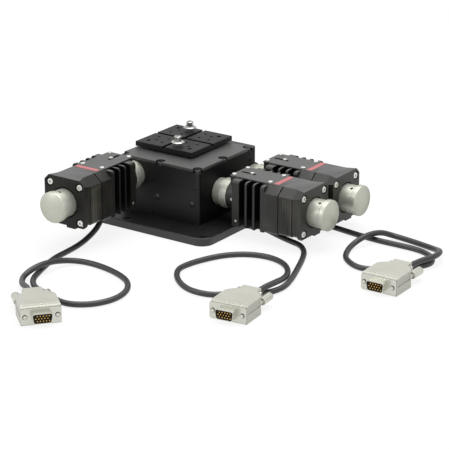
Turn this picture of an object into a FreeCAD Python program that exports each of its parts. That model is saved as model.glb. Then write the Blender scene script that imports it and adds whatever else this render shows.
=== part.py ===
import FreeCAD, Part
import math
import os
from FreeCAD import Vector

# Three-axis nanopositioning stage with three stepper drives on cables.
# Frame: Z up, origin on the platform's vertical axis at the base plate's underside,
# +X towards the pair of drives, -Y towards the single drive. Millimetres.

# Clearances
FIT = 0.05            # radial clearance of shafts, pins and screws in their holes
SEAT = 0.3            # gap between pieces that push each other but are not joined
SLIDE = 0.1           # gap between a guide rail and what it guides
TRAVEL = 2.0          # half travel of the two level axes
Z_TRAVEL = 4.0        # whole lift of the platform, from the place it is drawn at
THROUGH = 1.0         # how far a cut runs past the faces it opens
NEAR = 0.01           # within this an edge counts as lying at a place

# Base plate
BASE_X0, BASE_X1 = -61.6, 76.4
BASE_Y0, BASE_Y1 = -75.8, 63.6
BASE_THICKNESS = 7.0
BASE_CORNER = 11.0
BASE_HOLE_R = 3.3
BASE_CHAMFER = 0.5
BASE_SCREW_GRIP = 8.0   # thread of the screws that hold the body from below
OUTER_HOLE_X, OUTER_HOLE_Y = (-10.5, 69.5), (-68.8, 56.2)
INNER_HOLE_X, INNER_HOLE_Y = (-23.5, 56.5), (-54.6, 42.0)

# Stage body and cover
BODY_X0, BODY_X1 = -31.0, 51.7
BODY_Y0, BODY_Y1 = -50.6, 36.4
BODY_HEIGHT = 47.1
WALL = 6.0
BODY_CORNER = 3.5
COVER_THICKNESS = 2.6
COVER_BACK_Y = 28.5
RIM_DROP = 1.3        # how far the body's back rim stays below the cover's top
COVER_CHAMFER = 0.4
SCREW_INSET = 2.75    # from the outer face to the cover screws
NOTCH_R = 4.1
NOTCH_DEPTH = 1.6
COVER_SCREW_LENGTH = 4.5
BOSS_R = 5.1          # bosses under the cover's middle screws
BOSS_DROP = 8.0
POST_WINDOW = 1.5     # from the post at its end of travel to the cover
LEDGE_Y, LEDGE_Z = 22.8, 49.5
PANEL_X0, PANEL_X1 = 4.0, 49.0
PANEL_Z0, PANEL_Z1 = 8.6, 39.0
PANEL_THICKNESS = 1.4
PANEL_SCREW_INSET = 4.3
PANEL_SCREW_RISE = 1.2
PANEL_CORNER = 2.0
PANEL_SCREW_GRIP = 3.0
PLUG_HOLE_Y, PLUG_HOLE_Z, PLUG_HOLE_R, PLUG_HOLE_DEPTH = 26.2, 45.2, 1.2, 1.5

# Platform
PLATFORM_SIDE = 60.0
PLATFORM_THICKNESS = 4.4
PLATFORM_GAP = 1.4    # the platform is at the bottom of its lift
PLATFORM_CHAMFER = 0.4
GROOVE_WIDTH = 3.2
GROOVE_DEPTH = 2.2
CENTRE_BORE_R = 3.0
CENTRE_BORE_DEPTH = 14.0
TAPPED_R = 1.25
FIXING_R = 1.9
TAPPED_PLACES = ((9.5, 9.5), (17.0, 17.0), (20.5, 8.5), (8.5, 20.5))
FIXING_PLACE = (21.8, 21.8)
CLAMP_PLACES = ((8.5, -20.5), (-8.5, 20.5))
CLAMP_SPACER_R, CLAMP_SPACER_H = 3.2, 3.0
CLAMP_WASHER_R, CLAMP_WASHER_H, CLAMP_WASHER_RIM, CLAMP_CONE_R = 5.8, 1.6, 0.6, 4.0
CLAMP_HEAD_R, CLAMP_HEAD_H, CLAMP_SOCKET = 3.1, 4.2, 2.6
CLAMP_END_GAP = 0.5   # from the bolt's end to the platform's underside

# Carriages inside the body
CARRIAGE_THICKNESS = 7.0
RAIL_WIDTH = 5.0
RAIL_HEIGHT = 9.0
TONGUE = 2.0
TONGUE_HEIGHT = 3.0
CARRIAGE_LIFT = 1.0
X_CARRIAGE_X = (-18.0, 26.0)
X_CARRIAGE_Y = (-32.0, 20.0)
Y_CARRIAGE_HALF_X = 13.0
Y_CARRIAGE_Y = (-20.0, 16.0)
POST_R = 8.0
POST_BOTTOM = 19.0
POST_COLLAR_R = 14.0
POST_COLLAR_Z = (47.5, 49.7)
TOWER_R = 11.0
TOWER_TOP = 39.0
X_LUG_X = (22.0, 28.0)
X_LUG_HALF_Y = 6.0
Y_LUG_Y = (-20.0, -15.0)
LUG_TOP = 5.0         # a lug's height above the drive axis that pushes it
Y_LUG_WIDTH = 4.0
RAIL_END_GAP = 3.0    # from a rail's end to the cavity wall or the carriage

# Bell crank
CRANK_X = 22.0
CRANK_ARM = 15.0
CRANK_HUB_R = 5.0
CRANK_PIN_R = 2.5
CRANK_HALF_THICKNESS = 3.0
CRANK_Y = (-16.0, 29.5)
CRANK_PUSH_WIDTH = 8.5
TINE_Y = (10.6, 14.6)
TINE_Z = (42.4, 46.2)
TINE_OVERHANG = 2.0
BUMP_R = 1.5

# Drive places: lateral place, height and gap from the body's face to the drive's round nose
X_DRIVE_Y, X_DRIVE_Z, X_DRIVE_GAP = -19.9, 30.1, 15.1
Z_DRIVE_Y, Z_DRIVE_Z, Z_DRIVE_GAP = 30.0, 28.9, 15.1
Y_DRIVE_X, Y_DRIVE_Z, Y_DRIVE_GAP = -16.0, 41.4, 12.9

# Drive sections, from the drive axis
HALF_WIDTH = 21.0
HALF_TOP = 13.0
TOP_Z = 21.5
SHOULDER_Z = 15.2
BOTTOM_Z = -19.5
BOTTOM_CHAMFER = 2.0
CAP_HALF_TOP = 16.5   # the rear cap's face has smaller shoulders
CAP_SHOULDER_Z = 17.0

# Drive stations, from the rear cap's face back to the stage
CAP_PLATE = 3.2
CAP_TAPER = 8.5
CAP_END = 9.5
CAP_WAIST = 1.2       # how far the cap's side is set back behind its end plate
CANOPY_DROP = 1.1     # from the shoulder down to the canopy's lower edge
CANOPY_SEAM = 1.0     # open seam between the canopy's shoulder and the seat
CANOPY_LIP = 0.9
LIP_PROUD = 0.5
FOOT_Y = (1.0, 10.0)
FOOT_DROP = 1.9
STACK_INSET = 0.6
STACK_END = 23.0
SEAT_PLATE = 36.5
FIN_START = 40.0
FIN_GAP = 5.8
FIN_WIDTH = 2.0
FIN_GAPS = 3
FLANGE_WIDTH = 7.1
FIN_CORE = 14.0
FIN_TOP = 20.5
FIN_ROUND = 2.5
BRIDGE_BITE = 2.0     # how far the bridge under the top plate reaches into the fins' core
BRIDGE_INSET = 1.0
PLATE_START = 31.0
PLATE_END = 76.0
PLATE_THICKNESS = 1.2
PLATE_CLEARANCE = 0.2
NOSE_LENGTH = 12.2
NOSE_R = 13.2
NOSE_TUBE_R = 8.0
LOCK_TAIL = 4.5
LOCK_TAIL_R = 11.0
LOCK_COLLAR_R = 11.6
LOCK_RING_WIDTH = 8.3
LOCK_RING_R = 12.8
LOCK_CHAMFER = 0.8
LOCK_BOSS_WALL = 2.0
GUIDE_PIN_STATION = 62.0
GUIDE_PIN_R = 1.2
GUIDE_HEAD_R = 1.7
GUIDE_HEAD_H = 0.9
SLOT_START = GUIDE_PIN_STATION - TRAVEL - GUIDE_PIN_R - SEAT
SLOT_END = 72.8
SLOT_WIDTH = 2.8

# Drive inner pieces
SPINDLE_R = 4.5
SPINDLE_END = 44.0
SPINDLE_DOME = 7.0
LEAD_SCREW_R = 2.5
LEAD_SCREW_END = 60.0
ROTOR_R = 11.0
ROTOR_GAP = 1.0       # between the rotor's ends and its neighbours
STACK_BORE = 11.5
JOURNAL_R = 4.0
JOURNAL_GAP = 0.5
BEARING_R = 8.0
BEARING_WIDTH = 4.0
RECESS_R = 13.3
RECESS_DEPTH = 1.4
KNOB_THIMBLE_R = 12.3
KNOB_THIMBLE_LENGTH = 11.5
KNOB_GRIP_R = 13.2
KNOB_LENGTH = 17.6
KNOB_DOME = 1.6
KNOB_LINE = 0.3       # fine turned line between thimble and grip
KNOB_HOLE_R, KNOB_HOLE_DEPTH, KNOB_HOLE_TURN = 1.5, 4.0, 25
CAP_SCREW_PITCH = 15.3
CAP_COUNTERBORE_R = 3.7
CAP_SCREW_DEPTH = 3.2
CAP_SCREW_GRIP = 10.0
CAP_SCREW_HOLE = 12.0
PLATE_SCREW_LATERAL = 10.1
PLATE_SCREW_STATIONS = (37.0, 73.3)
PLATE_SCREW_LENGTH = 6.0
PLATE_SCREW_HOLE = 7.0
GRUB_R, GRUB_LENGTH, GRUB_SOCKET, GRUB_SINK = 1.4, 4.0, 1.5, 0.3
FLANGE_GRUB_Z = -15.0
GLAND_R = 4.2
GLAND_LENGTH = 9.7

# Cables and connectors
CABLE_R = 2.4
BEND_SHARE = 0.45     # share of the shorter run on each side that a bend takes up
HOOD_HEIGHT = 14.5
HOOD_HALF_WIDTH = 15.5
HOOD_FRONT = 1.6
HOOD_SHOULDER = 25.0
HOOD_NECK_START = 34.0
HOOD_END = 41.0
HOOD_NECK_HALF = 7.6
HOOD_SHOULDER_ROUND = 4.0
HOOD_END_ROUND = 2.5
HOOD_RIM_ROUND = 0.9
HOOD_WALL = 1.4
HOOD_RIB_STATIONS = (3.6, 7.0)
HOOD_RIB_WIDTH, HOOD_RIB_DEPTH = 1.1, 0.6
HOOD_SEAM_Z, HOOD_SEAM_WIDTH, HOOD_SEAM_DEPTH = 6.05, 0.4, 0.4
FLANGE_THICK = 1.0
FLANGE_HEIGHT = 12.5
JACK_HALF_SPACING = 12.5
JACK_R = 1.45
THUMB_R = 3.3
THUMB_START = 32.0
THUMB_END = 45.5
THUMB_CHAMFER = 0.5
THUMB_GROOVES = 12
THUMB_GROOVE_R = 0.35
JACK_TIP = 0.8        # how far a jackscrew stands out of the flange
SHELL_REACH = 5.8
SHELL_TOP_HALF = 8.2
SHELL_BOTTOM_HALF = 6.9
SHELL_HALF_HEIGHT = 4.1
SHELL_WALL = 0.45
SHELL_CORNER = 1.7
FLANGE_CORNER = 1.2
JACK_HOLE_GAP = 0.6
PIN_PITCH = 2.29
PIN_ROW = 1.98
PINS_IN_ROW = 5
CONTACT_R = 0.42
INSERT_REACH = 0.8
CLAMP_SCREW_R, CLAMP_SCREW_H, CLAMP_SCREW_SLOT, CLAMP_SCREW_RISE = 1.7, 1.4, 0.5, 3.2
CONNECTORS = {
    "y_drive": (70.3, -278.2, 0.874),
    "x_drive": (181.1, -193.7, 0.119),
    "z_drive": (244.5, -79.4, 0.023),
}

# Cable routes, from the gland to the connector's neck
CABLE_ROUTES = {
    "y_drive": [
        (-16, -85.4, 17.7), (-16, -96, 16.4), (-15, -107, 9.5), (-12.5, -120, 3.6),
        (-7.5, -138, 2.6), (-2.5, -160, 2.6), (-0.5, -181, 2.6), (2, -200, 2.6), (9, -217, 2.6),
        (22, -229, 2.6), (38, -233, 2.6), (53, -238, 2.6), (68, -239, 2.6), (81, -229, 2.6),
        (88, -212, 2.6), (86.5, -193, 2.6), (76, -177.5, 2.6), (60, -168, 2.6),
        (42, -163.5, 2.6), (24, -163.5, 3.2), (7.5, -169, 8.2), (-5.5, -182, 8.2),
        (-9.5, -200, 3.2), (-4, -217, 2.6), (8, -230, 4.6), (23.5, -239.1, 6.9),
        (38.9, -251.9, 7.25)],
    "x_drive": [
        (88.7, -19.9, 6.4), (99, -20, 5.4), (111, -21, 2.8), (126, -23.5, 2.6),
        (140, -30.5, 2.6), (151, -43, 2.6), (160, -60, 2.6), (168, -80, 2.6), (175, -100, 2.6),
        (179.5, -118, 2.6), (178, -132, 2.6), (169, -141, 2.6), (156, -145.5, 2.6),
        (144, -152, 2.6), (131, -156.5, 2.6), (116, -154.5, 2.6), (101.5, -146, 2.6),
        (91, -132.5, 2.6), (87, -115.5, 2.6), (91, -97.5, 2.6), (101.5, -82.5, 2.6),
        (116.5, -72, 2.6), (134, -68.5, 2.6), (150.5, -74, 2.6), (162.5, -86.5, 2.6),
        (169, -104, 3.4), (172, -122, 8.3), (174.4, -138.5, 8.5), (176.2, -153, 7.25)],
    "z_drive": [
        (88.7, 30, 5.2), (99.5, 29.7, 4.4), (113, 28, 2.7), (130, 24.5, 2.6), (149, 21.5, 2.6),
        (168, 20, 2.6), (187, 19, 2.6), (206, 20.3, 2.6), (222, 18.5, 2.6), (235, 12, 2.6),
        (243.5, 1, 2.6), (244, -12, 2.6), (237, -22.5, 2.6), (225, -28.5, 2.6),
        (213, -36.5, 2.6), (200.5, -38.5, 2.6), (189, -31.5, 2.6), (181.5, -19.5, 2.6),
        (177, -4.5, 3.3), (174.3, 10.5, 8.3), (177.5, 25.5, 8.3), (188.5, 35, 3.2),
        (204, 36.5, 2.6), (220, 33.5, 2.6), (235, 27.5, 3.4), (245, 16, 8.2), (248.3, 0, 8.4),
        (246, -19, 8.2), (243.7, -38.4, 7.25)],
}

# Screws
M3_HEAD_R, M3_HEAD_H, M3_SHANK_R, M3_SOCKET = 2.75, 3.0, 1.5, 2.5
SMALL_HEAD_R, SMALL_HEAD_H, SMALL_SHANK_R, SMALL_SOCKET = 1.9, 1.2, 1.25, 1.3
BUTTON_DOME_R, BUTTON_HEAD_R, BUTTON_HEAD_H, BUTTON_SOCKET_R = 2.9, 2.5, 1.6, 0.9

# Heights that follow from the sizes above
COVER_BOTTOM = BASE_THICKNESS + BODY_HEIGHT
COVER_TOP = COVER_BOTTOM + COVER_THICKNESS
PLATFORM_BOTTOM = COVER_TOP + PLATFORM_GAP
DECK = PLATFORM_BOTTOM + PLATFORM_THICKNESS
CAVITY_X = (BODY_X0 + WALL, BODY_X1 - WALL)
CAVITY_Y = (BODY_Y0 + WALL, BODY_Y1 - WALL)
X_PLATE_Z = (BASE_THICKNESS + CARRIAGE_LIFT, BASE_THICKNESS + CARRIAGE_LIFT + CARRIAGE_THICKNESS)
Y_PLATE_Z = (X_PLATE_Z[1] + CARRIAGE_LIFT, X_PLATE_Z[1] + CARRIAGE_LIFT + CARRIAGE_THICKNESS)
CRANK_Z = Z_DRIVE_Z + CRANK_ARM
FLANGE_START = FIN_START + FIN_GAPS * FIN_GAP + (FIN_GAPS - 1) * FIN_WIDTH
FLANGE_END = FLANGE_START + FLANGE_WIDTH
DRIVE_LENGTH = FLANGE_END + NOSE_LENGTH
CANOPY_Z = SHOULDER_Z - CANOPY_DROP
KNOB_START = RECESS_DEPTH - SEAT
X_AXIS, Y_AXIS, Z_AXIS = Vector(1, 0, 0), Vector(0, 1, 0), Vector(0, 0, 1)


def box(x, y, z):
    """A box from three (low, high) pairs."""
    return Part.makeBox(x[1] - x[0], y[1] - y[0], z[1] - z[0], Vector(x[0], y[0], z[0]))


def rod(radius, start, end, axis=X_AXIS, centre=(0, 0)):
    """A cylinder along an axis from station start to end, centred on the other two coordinates."""
    if axis == X_AXIS:
        foot = Vector(start, centre[0], centre[1])
    elif axis == Y_AXIS:
        foot = Vector(centre[0], start, centre[1])
    else:
        foot = Vector(centre[0], centre[1], start)
    return Part.makeCylinder(radius, end - start, foot, axis)


def prism(points, start, end):
    """A (y, z) outline carried along X from start to end."""
    corners = [Vector(start, y, z) for y, z in points]
    face = Part.Face(Part.makePolygon(corners + corners[:1]))
    return face.extrude(Vector(end - start, 0, 0))


def tapered(near, far, start, end):
    """One (y, z) outline at start that changes evenly into another at end."""
    wires = []
    for x, outline in ((start, near), (end, far)):
        corners = [Vector(x, y, z) for y, z in outline]
        wires.append(Part.makePolygon(corners + corners[:1]))
    return Part.makeLoft(wires, True, True)


def turned(outline):
    """A solid of revolution about X from (station, radius) points."""
    corners = [Vector(x, 0, r) for x, r in outline]
    face = Part.Face(Part.makePolygon(corners + corners[:1]))
    return face.revolve(Vector(0, 0, 0), X_AXIS, 360)


def along(edge, axis):
    """Whether a straight edge runs along an axis."""
    if len(edge.Vertexes) < 2:
        return False
    span = edge.Vertexes[1].Point - edge.Vertexes[0].Point
    return abs(abs(span.dot(axis)) - span.Length) < 1e-6


def round_edges(shape, radius, axis, keep=lambda point: True):
    """Fillet the edges along an axis whose middle passes the test."""
    edges = [e for e in shape.Edges if along(e, axis) and keep(e.CenterOfMass)]
    return shape.makeFillet(radius, edges)


def group(solids):
    """Separate solids kept as one node."""
    return Part.makeCompound(solids)


def cap_screw(head_r, head_h, shank_r, length, socket_af):
    """A socket screw along Z: the head sits on z = 0 and the shank hangs below it."""
    head = Part.makeCylinder(head_r, head_h)
    rim = [e for e in head.Edges if e.BoundBox.ZMin > head_h / 2]
    head = head.makeChamfer(head_h / 8, rim)
    corner_r = socket_af / math.sqrt(3)
    corners = [Vector(corner_r * math.cos(math.radians(60 * i)),
                      corner_r * math.sin(math.radians(60 * i)), head_h / 2) for i in range(7)]
    socket = Part.Face(Part.makePolygon(corners)).extrude(Vector(0, 0, head_h))
    shank = Part.makeCylinder(shank_r, length, Vector(0, 0, -length))
    return head.cut(socket).fuse(shank).removeSplitter()


def m3_screw(length):
    return cap_screw(M3_HEAD_R, M3_HEAD_H, M3_SHANK_R, length, M3_SOCKET)


def put(shape, x, y, z, turn_axis=None, angle=0):
    """A copy of a shape, turned about its own origin and then carried to a place."""
    copy = shape.copy()
    if turn_axis is not None:
        copy.rotate(Vector(0, 0, 0), turn_axis, angle)
    copy.translate(Vector(x, y, z))
    return copy


# Base plate

def stage_fixing_places():
    """Where screws from below hold the body: in the middle of the wall corners."""
    half = WALL / 2
    return [(x, y) for x in (BODY_X0 + half, BODY_X1 - half)
            for y in (BODY_Y0 + half, BODY_Y1 - half)]


def base_plate():
    plate = box((BASE_X0, BASE_X1), (BASE_Y0, BASE_Y1), (0, BASE_THICKNESS))
    plate = round_edges(plate, BASE_CORNER, Z_AXIS)
    top_rim = [e for e in plate.Edges if e.BoundBox.ZMin > BASE_THICKNESS - NEAR]
    plate = plate.makeChamfer(BASE_CHAMFER, top_rim)
    top = BASE_THICKNESS + THROUGH
    holes = [rod(BASE_HOLE_R, -THROUGH, top, Z_AXIS, (x, y))
             for xs, ys in ((OUTER_HOLE_X, OUTER_HOLE_Y), (INNER_HOLE_X, INNER_HOLE_Y))
             for x in xs for y in ys]
    for place in stage_fixing_places():
        holes.append(rod(M3_SHANK_R + FIT, -THROUGH, top, Z_AXIS, place))
        holes.append(rod(M3_HEAD_R + SEAT, -THROUGH, M3_HEAD_H + SEAT, Z_AXIS, place))
    return plate.cut(group(holes))


# Stage body

def cover_screw_places():
    """Corners of the cover, and middles of its edges."""
    xs = (BODY_X0 + SCREW_INSET, BODY_X1 - SCREW_INSET)
    ys = (BODY_Y0 + SCREW_INSET, COVER_BACK_Y - SCREW_INSET)
    middle_x, middle_y = (xs[0] + xs[1]) / 2, (ys[0] + ys[1]) / 2
    corners = [(x, y) for x in xs for y in ys]
    return corners, [(middle_x, y) for y in ys] + [(x, middle_y) for x in xs]


def panel_screw_places():
    z = (PANEL_Z0 + PANEL_Z1) / 2 + PANEL_SCREW_RISE
    return [(PANEL_X0 + PANEL_SCREW_INSET, z), (PANEL_X1 - PANEL_SCREW_INSET, z)]


def panel_box(grow):
    """The access panel's outline, grown all round and open to the outside."""
    return box((PANEL_X0 - grow, PANEL_X1 + grow), (BODY_Y0 - THROUGH, BODY_Y0 + PANEL_THICKNESS),
               (PANEL_Z0 - grow, PANEL_Z1 + grow))


def drive_wall_bores():
    """Seats of the lock rings in the body, with the spindles' ways into the cavity."""
    cuts = []
    for y, z in ((X_DRIVE_Y, X_DRIVE_Z), (Z_DRIVE_Y, Z_DRIVE_Z)):
        cuts.append(rod(LOCK_TAIL_R + FIT, BODY_X1 - LOCK_TAIL - FIT, BODY_X1 + THROUGH, X_AXIS, (y, z)))
        cuts.append(rod(NOSE_TUBE_R, BODY_X1 - WALL - THROUGH, BODY_X1, X_AXIS, (y, z)))
    place = (Y_DRIVE_X, Y_DRIVE_Z)
    cuts.append(rod(LOCK_TAIL_R + FIT, BODY_Y0 - THROUGH, BODY_Y0 + LOCK_TAIL + FIT, Y_AXIS, place))
    cuts.append(rod(NOSE_TUBE_R, BODY_Y0, BODY_Y0 + WALL + THROUGH, Y_AXIS, place))
    # channel beside the back wall for the lifting drive's spindle
    cuts.append(rod(SPINDLE_R + SEAT, CRANK_X - CRANK_HALF_THICKNESS - Z_TRAVEL, BODY_X1 - WALL, X_AXIS,
                    (Z_DRIVE_Y, Z_DRIVE_Z)))
    return cuts


def access_cuts():
    """The access panel's seat, its window and its screw holes."""
    window = 2 * PANEL_SCREW_INSET
    cuts = [panel_box(SLIDE),
            box((PANEL_X0 + window, PANEL_X1 - window), (BODY_Y0 - THROUGH, BODY_Y0 + WALL + THROUGH),
                (PANEL_Z0 + PANEL_SCREW_INSET, PANEL_Z1 - PANEL_SCREW_INSET))]
    end = BODY_Y0 + PANEL_THICKNESS + PANEL_SCREW_GRIP + SEAT
    cuts += [rod(SMALL_SHANK_R + FIT, BODY_Y0, end, Y_AXIS, place) for place in panel_screw_places()]
    return cuts


def body_housing():
    outer = box((BODY_X0, BODY_X1), (BODY_Y0, BODY_Y1), (BASE_THICKNESS, COVER_TOP - RIM_DROP))
    outer = round_edges(outer, BODY_CORNER, Z_AXIS)
    boss = rod(LOCK_TAIL_R + LOCK_BOSS_WALL, BODY_X1 - 2 * WALL, BODY_X1, X_AXIS, (Z_DRIVE_Y, Z_DRIVE_Z))
    outer = outer.fuse(boss)
    corners, middles = cover_screw_places()
    bosses = [rod(BOSS_R, COVER_BOTTOM - BOSS_DROP, COVER_TOP, Z_AXIS, place) for place in middles]
    ledge = box(CAVITY_X, (LEDGE_Y, CAVITY_Y[1]), (LEDGE_Z, COVER_TOP))
    cavity = box(CAVITY_X, CAVITY_Y, (0, COVER_TOP)).cut(group(bosses + [ledge]))
    seat = box((BODY_X0 - THROUGH, BODY_X1 + THROUGH), (BODY_Y0 - THROUGH, COVER_BACK_Y + SLIDE),
               (COVER_BOTTOM, COVER_TOP))
    body = outer.cut(group([cavity, seat]))
    cuts = drive_wall_bores() + access_cuts()
    # small plugged hole high in the drive side, near the back
    cuts.append(rod(PLUG_HOLE_R, BODY_X1 - PLUG_HOLE_DEPTH, BODY_X1 + THROUGH, X_AXIS,
                    (PLUG_HOLE_Y, PLUG_HOLE_Z)))
    # crank pin, held in half of each wall
    cuts.append(rod(CRANK_PIN_R + FIT, CAVITY_Y[0] - WALL / 2, CAVITY_Y[1] + WALL / 2, Y_AXIS,
                    (CRANK_X, CRANK_Z)))
    # cover screws from above, base screws from below
    floor = COVER_BOTTOM - NOTCH_DEPTH
    for place in corners + middles:
        cuts.append(rod(M3_SHANK_R + FIT, floor - COVER_SCREW_LENGTH - THROUGH, COVER_TOP, Z_AXIS, place))
        cuts.append(rod(NOTCH_R, floor, COVER_TOP, Z_AXIS, place))
    for place in stage_fixing_places():
        cuts.append(rod(M3_SHANK_R + FIT, BASE_THICKNESS - THROUGH,
                        BASE_THICKNESS + BASE_SCREW_GRIP + THROUGH, Z_AXIS, place))
    return body.cut(group(cuts)).removeSplitter()


def top_cover():
    cover = box((BODY_X0, BODY_X1), (BODY_Y0, COVER_BACK_Y), (COVER_BOTTOM, COVER_TOP))
    cover = round_edges(cover, BODY_CORNER, Z_AXIS, lambda p: p.y < 0)
    rim = [e for e in cover.Edges if e.BoundBox.ZMin > COVER_TOP - NEAR]
    cover = cover.makeChamfer(COVER_CHAMFER, rim)
    corners, middles = cover_screw_places()
    low, high = COVER_BOTTOM - THROUGH, COVER_TOP + THROUGH
    cuts = [rod(NOTCH_R, low, high, Z_AXIS, place) for place in corners + middles]
    cuts.append(rod(POST_R + TRAVEL + POST_WINDOW, low, high, Z_AXIS))
    # the corner notches leave slivers at the square back corners
    return max(cover.cut(group(cuts)).Solids, key=lambda solid: solid.Volume)


def stage_screws():
    """The cover's eight screws and the four that hold the body from below."""
    seat = COVER_BOTTOM - NOTCH_DEPTH
    cover_screw = m3_screw(COVER_SCREW_LENGTH)
    corners, middles = cover_screw_places()
    screws = [put(cover_screw, x, y, seat) for x, y in corners + middles]
    base_screw = m3_screw(BASE_THICKNESS - M3_HEAD_H - SEAT + BASE_SCREW_GRIP)
    screws += [put(base_screw, x, y, M3_HEAD_H + SEAT, X_AXIS, 180)
               for x, y in stage_fixing_places()]
    return group(screws)


def access_panel():
    panel = box((PANEL_X0, PANEL_X1), (BODY_Y0, BODY_Y0 + PANEL_THICKNESS), (PANEL_Z0, PANEL_Z1))
    panel = round_edges(panel, PANEL_CORNER, Y_AXIS)
    holes = [rod(SMALL_SHANK_R + FIT, BODY_Y0 - THROUGH, BODY_Y0 + WALL, Y_AXIS, place)
             for place in panel_screw_places()]
    return panel.cut(group(holes))


def button_screw(length):
    """A round-headed socket screw along Z, head on z = 0."""
    dome = Part.makeSphere(BUTTON_DOME_R, Vector(0, 0, BUTTON_HEAD_H - BUTTON_DOME_R))
    head = dome.common(Part.makeCylinder(BUTTON_HEAD_R, BUTTON_HEAD_H))
    shank = Part.makeCylinder(SMALL_SHANK_R, length, Vector(0, 0, -length))
    socket = Part.makeCylinder(BUTTON_SOCKET_R, BUTTON_HEAD_H, Vector(0, 0, BUTTON_HEAD_H / 2))
    return head.cut(socket).fuse(shank)


def access_panel_screws():
    screw = button_screw(PANEL_THICKNESS + PANEL_SCREW_GRIP)
    return group([put(screw, x, BODY_Y0, z, X_AXIS, 90) for x, z in panel_screw_places()])


# Carriages

def rail_x(side):
    """One rail bar of the X guide on the base, side -1 in front and +1 at the back."""
    edge = X_CARRIAGE_Y[0] if side < 0 else X_CARRIAGE_Y[1]
    face = edge + side * SLIDE
    y = sorted((face, face + side * RAIL_WIDTH))
    ends = (X_CARRIAGE_X[0] - RAIL_END_GAP, CAVITY_X[1] - RAIL_END_GAP)
    bar = box(ends, y, (BASE_THICKNESS, BASE_THICKNESS + RAIL_HEIGHT))
    notch = box((ends[0] - THROUGH, ends[1] + THROUGH), sorted((face, face + side * (TONGUE + SLIDE))),
                tongue_z(X_PLATE_Z, SLIDE))
    return bar.cut(notch)


def tongue_z(plate_z, grow=0.0):
    """The height span of a carriage plate's tongue."""
    middle = (plate_z[0] + plate_z[1]) / 2
    return middle - TONGUE_HEIGHT / 2 - grow, middle + TONGUE_HEIGHT / 2 + grow


def x_rails():
    return group([rail_x(-1), rail_x(1)])


def x_carriage():
    plate = box(X_CARRIAGE_X, X_CARRIAGE_Y, X_PLATE_Z)
    tongues = box(X_CARRIAGE_X, (X_CARRIAGE_Y[0] - TONGUE, X_CARRIAGE_Y[1] + TONGUE), tongue_z(X_PLATE_Z))
    lug = box(X_LUG_X, (X_DRIVE_Y - X_LUG_HALF_Y, X_DRIVE_Y + X_LUG_HALF_Y),
              (X_PLATE_Z[0], X_DRIVE_Z + LUG_TOP))
    return plate.fuse([tongues, lug]).removeSplitter()


def y_rails():
    bars = []
    for side in (-1, 1):
        face = side * (Y_CARRIAGE_HALF_X + SLIDE)
        x = sorted((face, face + side * RAIL_WIDTH))
        bar = box(x, X_CARRIAGE_Y, (X_PLATE_Z[1], X_PLATE_Z[1] + RAIL_HEIGHT))
        notch = box(sorted((face, face + side * (TONGUE + SLIDE))),
                    (X_CARRIAGE_Y[0] - THROUGH, X_CARRIAGE_Y[1] + THROUGH), tongue_z(Y_PLATE_Z, SLIDE))
        bars.append(bar.cut(notch))
    return group(bars)


def y_carriage():
    half = Y_CARRIAGE_HALF_X
    plate = box((-half, half), Y_CARRIAGE_Y, Y_PLATE_Z)
    tongues = box((-half - TONGUE, half + TONGUE), Y_CARRIAGE_Y, tongue_z(Y_PLATE_Z))
    tower = rod(TOWER_R, Y_PLATE_Z[0], TOWER_TOP, Z_AXIS)
    lug_top = Y_DRIVE_Z + LUG_TOP
    foot = box((-half, -half + Y_LUG_WIDTH), Y_LUG_Y, (Y_PLATE_Z[0], lug_top))
    rail_top = X_PLATE_Z[1] + RAIL_HEIGHT
    pad = box((Y_DRIVE_X - LUG_TOP, -half + Y_LUG_WIDTH), Y_LUG_Y, (rail_top + CARRIAGE_LIFT, lug_top))
    solid = plate.fuse([tongues, tower, foot, pad])
    bore = rod(POST_R + FIT, Y_PLATE_Z[0] - THROUGH, TOWER_TOP + THROUGH, Z_AXIS)
    return solid.cut(bore).removeSplitter()


def platform_post():
    post = rod(POST_R, POST_BOTTOM, PLATFORM_BOTTOM, Z_AXIS)
    collar = rod(POST_COLLAR_R, POST_COLLAR_Z[0], POST_COLLAR_Z[1], Z_AXIS)
    bore = rod(CENTRE_BORE_R, DECK - CENTRE_BORE_DEPTH, DECK, Z_AXIS)
    return post.fuse(collar).cut(bore)


def four_ways(places):
    """Every place mirrored into the four quadrants."""
    return [(sx * x, sy * y) for x, y in places for sx in (-1, 1) for sy in (-1, 1)]


def moving_platform():
    half = PLATFORM_SIDE / 2
    plate = box((-half, half), (-half, half), (PLATFORM_BOTTOM, DECK))
    rim = [e for e in plate.Edges if e.BoundBox.ZMin > DECK - NEAR]
    plate = plate.makeChamfer(PLATFORM_CHAMFER, rim)
    floor, groove = DECK - GROOVE_DEPTH, (-GROOVE_WIDTH / 2, GROOVE_WIDTH / 2)
    across, above = (-half - THROUGH, half + THROUGH), (floor, DECK + THROUGH)
    cuts = [box(across, groove, above), box(groove, across, above)]
    low, high = PLATFORM_BOTTOM - THROUGH, DECK + THROUGH
    cuts += [rod(TAPPED_R, low, high, Z_AXIS, place) for place in four_ways(TAPPED_PLACES)]
    cuts += [rod(FIXING_R, low, high, Z_AXIS, place) for place in four_ways([FIXING_PLACE])]
    cuts.append(rod(CENTRE_BORE_R, low, high, Z_AXIS))
    return plate.cut(group(cuts))


def clamp_washers():
    """A round spacer with a coned flange washer under each clamp bolt."""
    top = CLAMP_SPACER_H + CLAMP_WASHER_H
    outline = [(0, TAPPED_R + FIT), (0, CLAMP_SPACER_R), (CLAMP_SPACER_H, CLAMP_SPACER_R),
               (CLAMP_SPACER_H, CLAMP_WASHER_R), (CLAMP_SPACER_H + CLAMP_WASHER_RIM, CLAMP_WASHER_R),
               (top, CLAMP_CONE_R), (top, TAPPED_R + FIT)]
    washer = turned(outline)
    return group([put(washer, x, y, DECK, Y_AXIS, -90) for x, y in CLAMP_PLACES])


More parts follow.
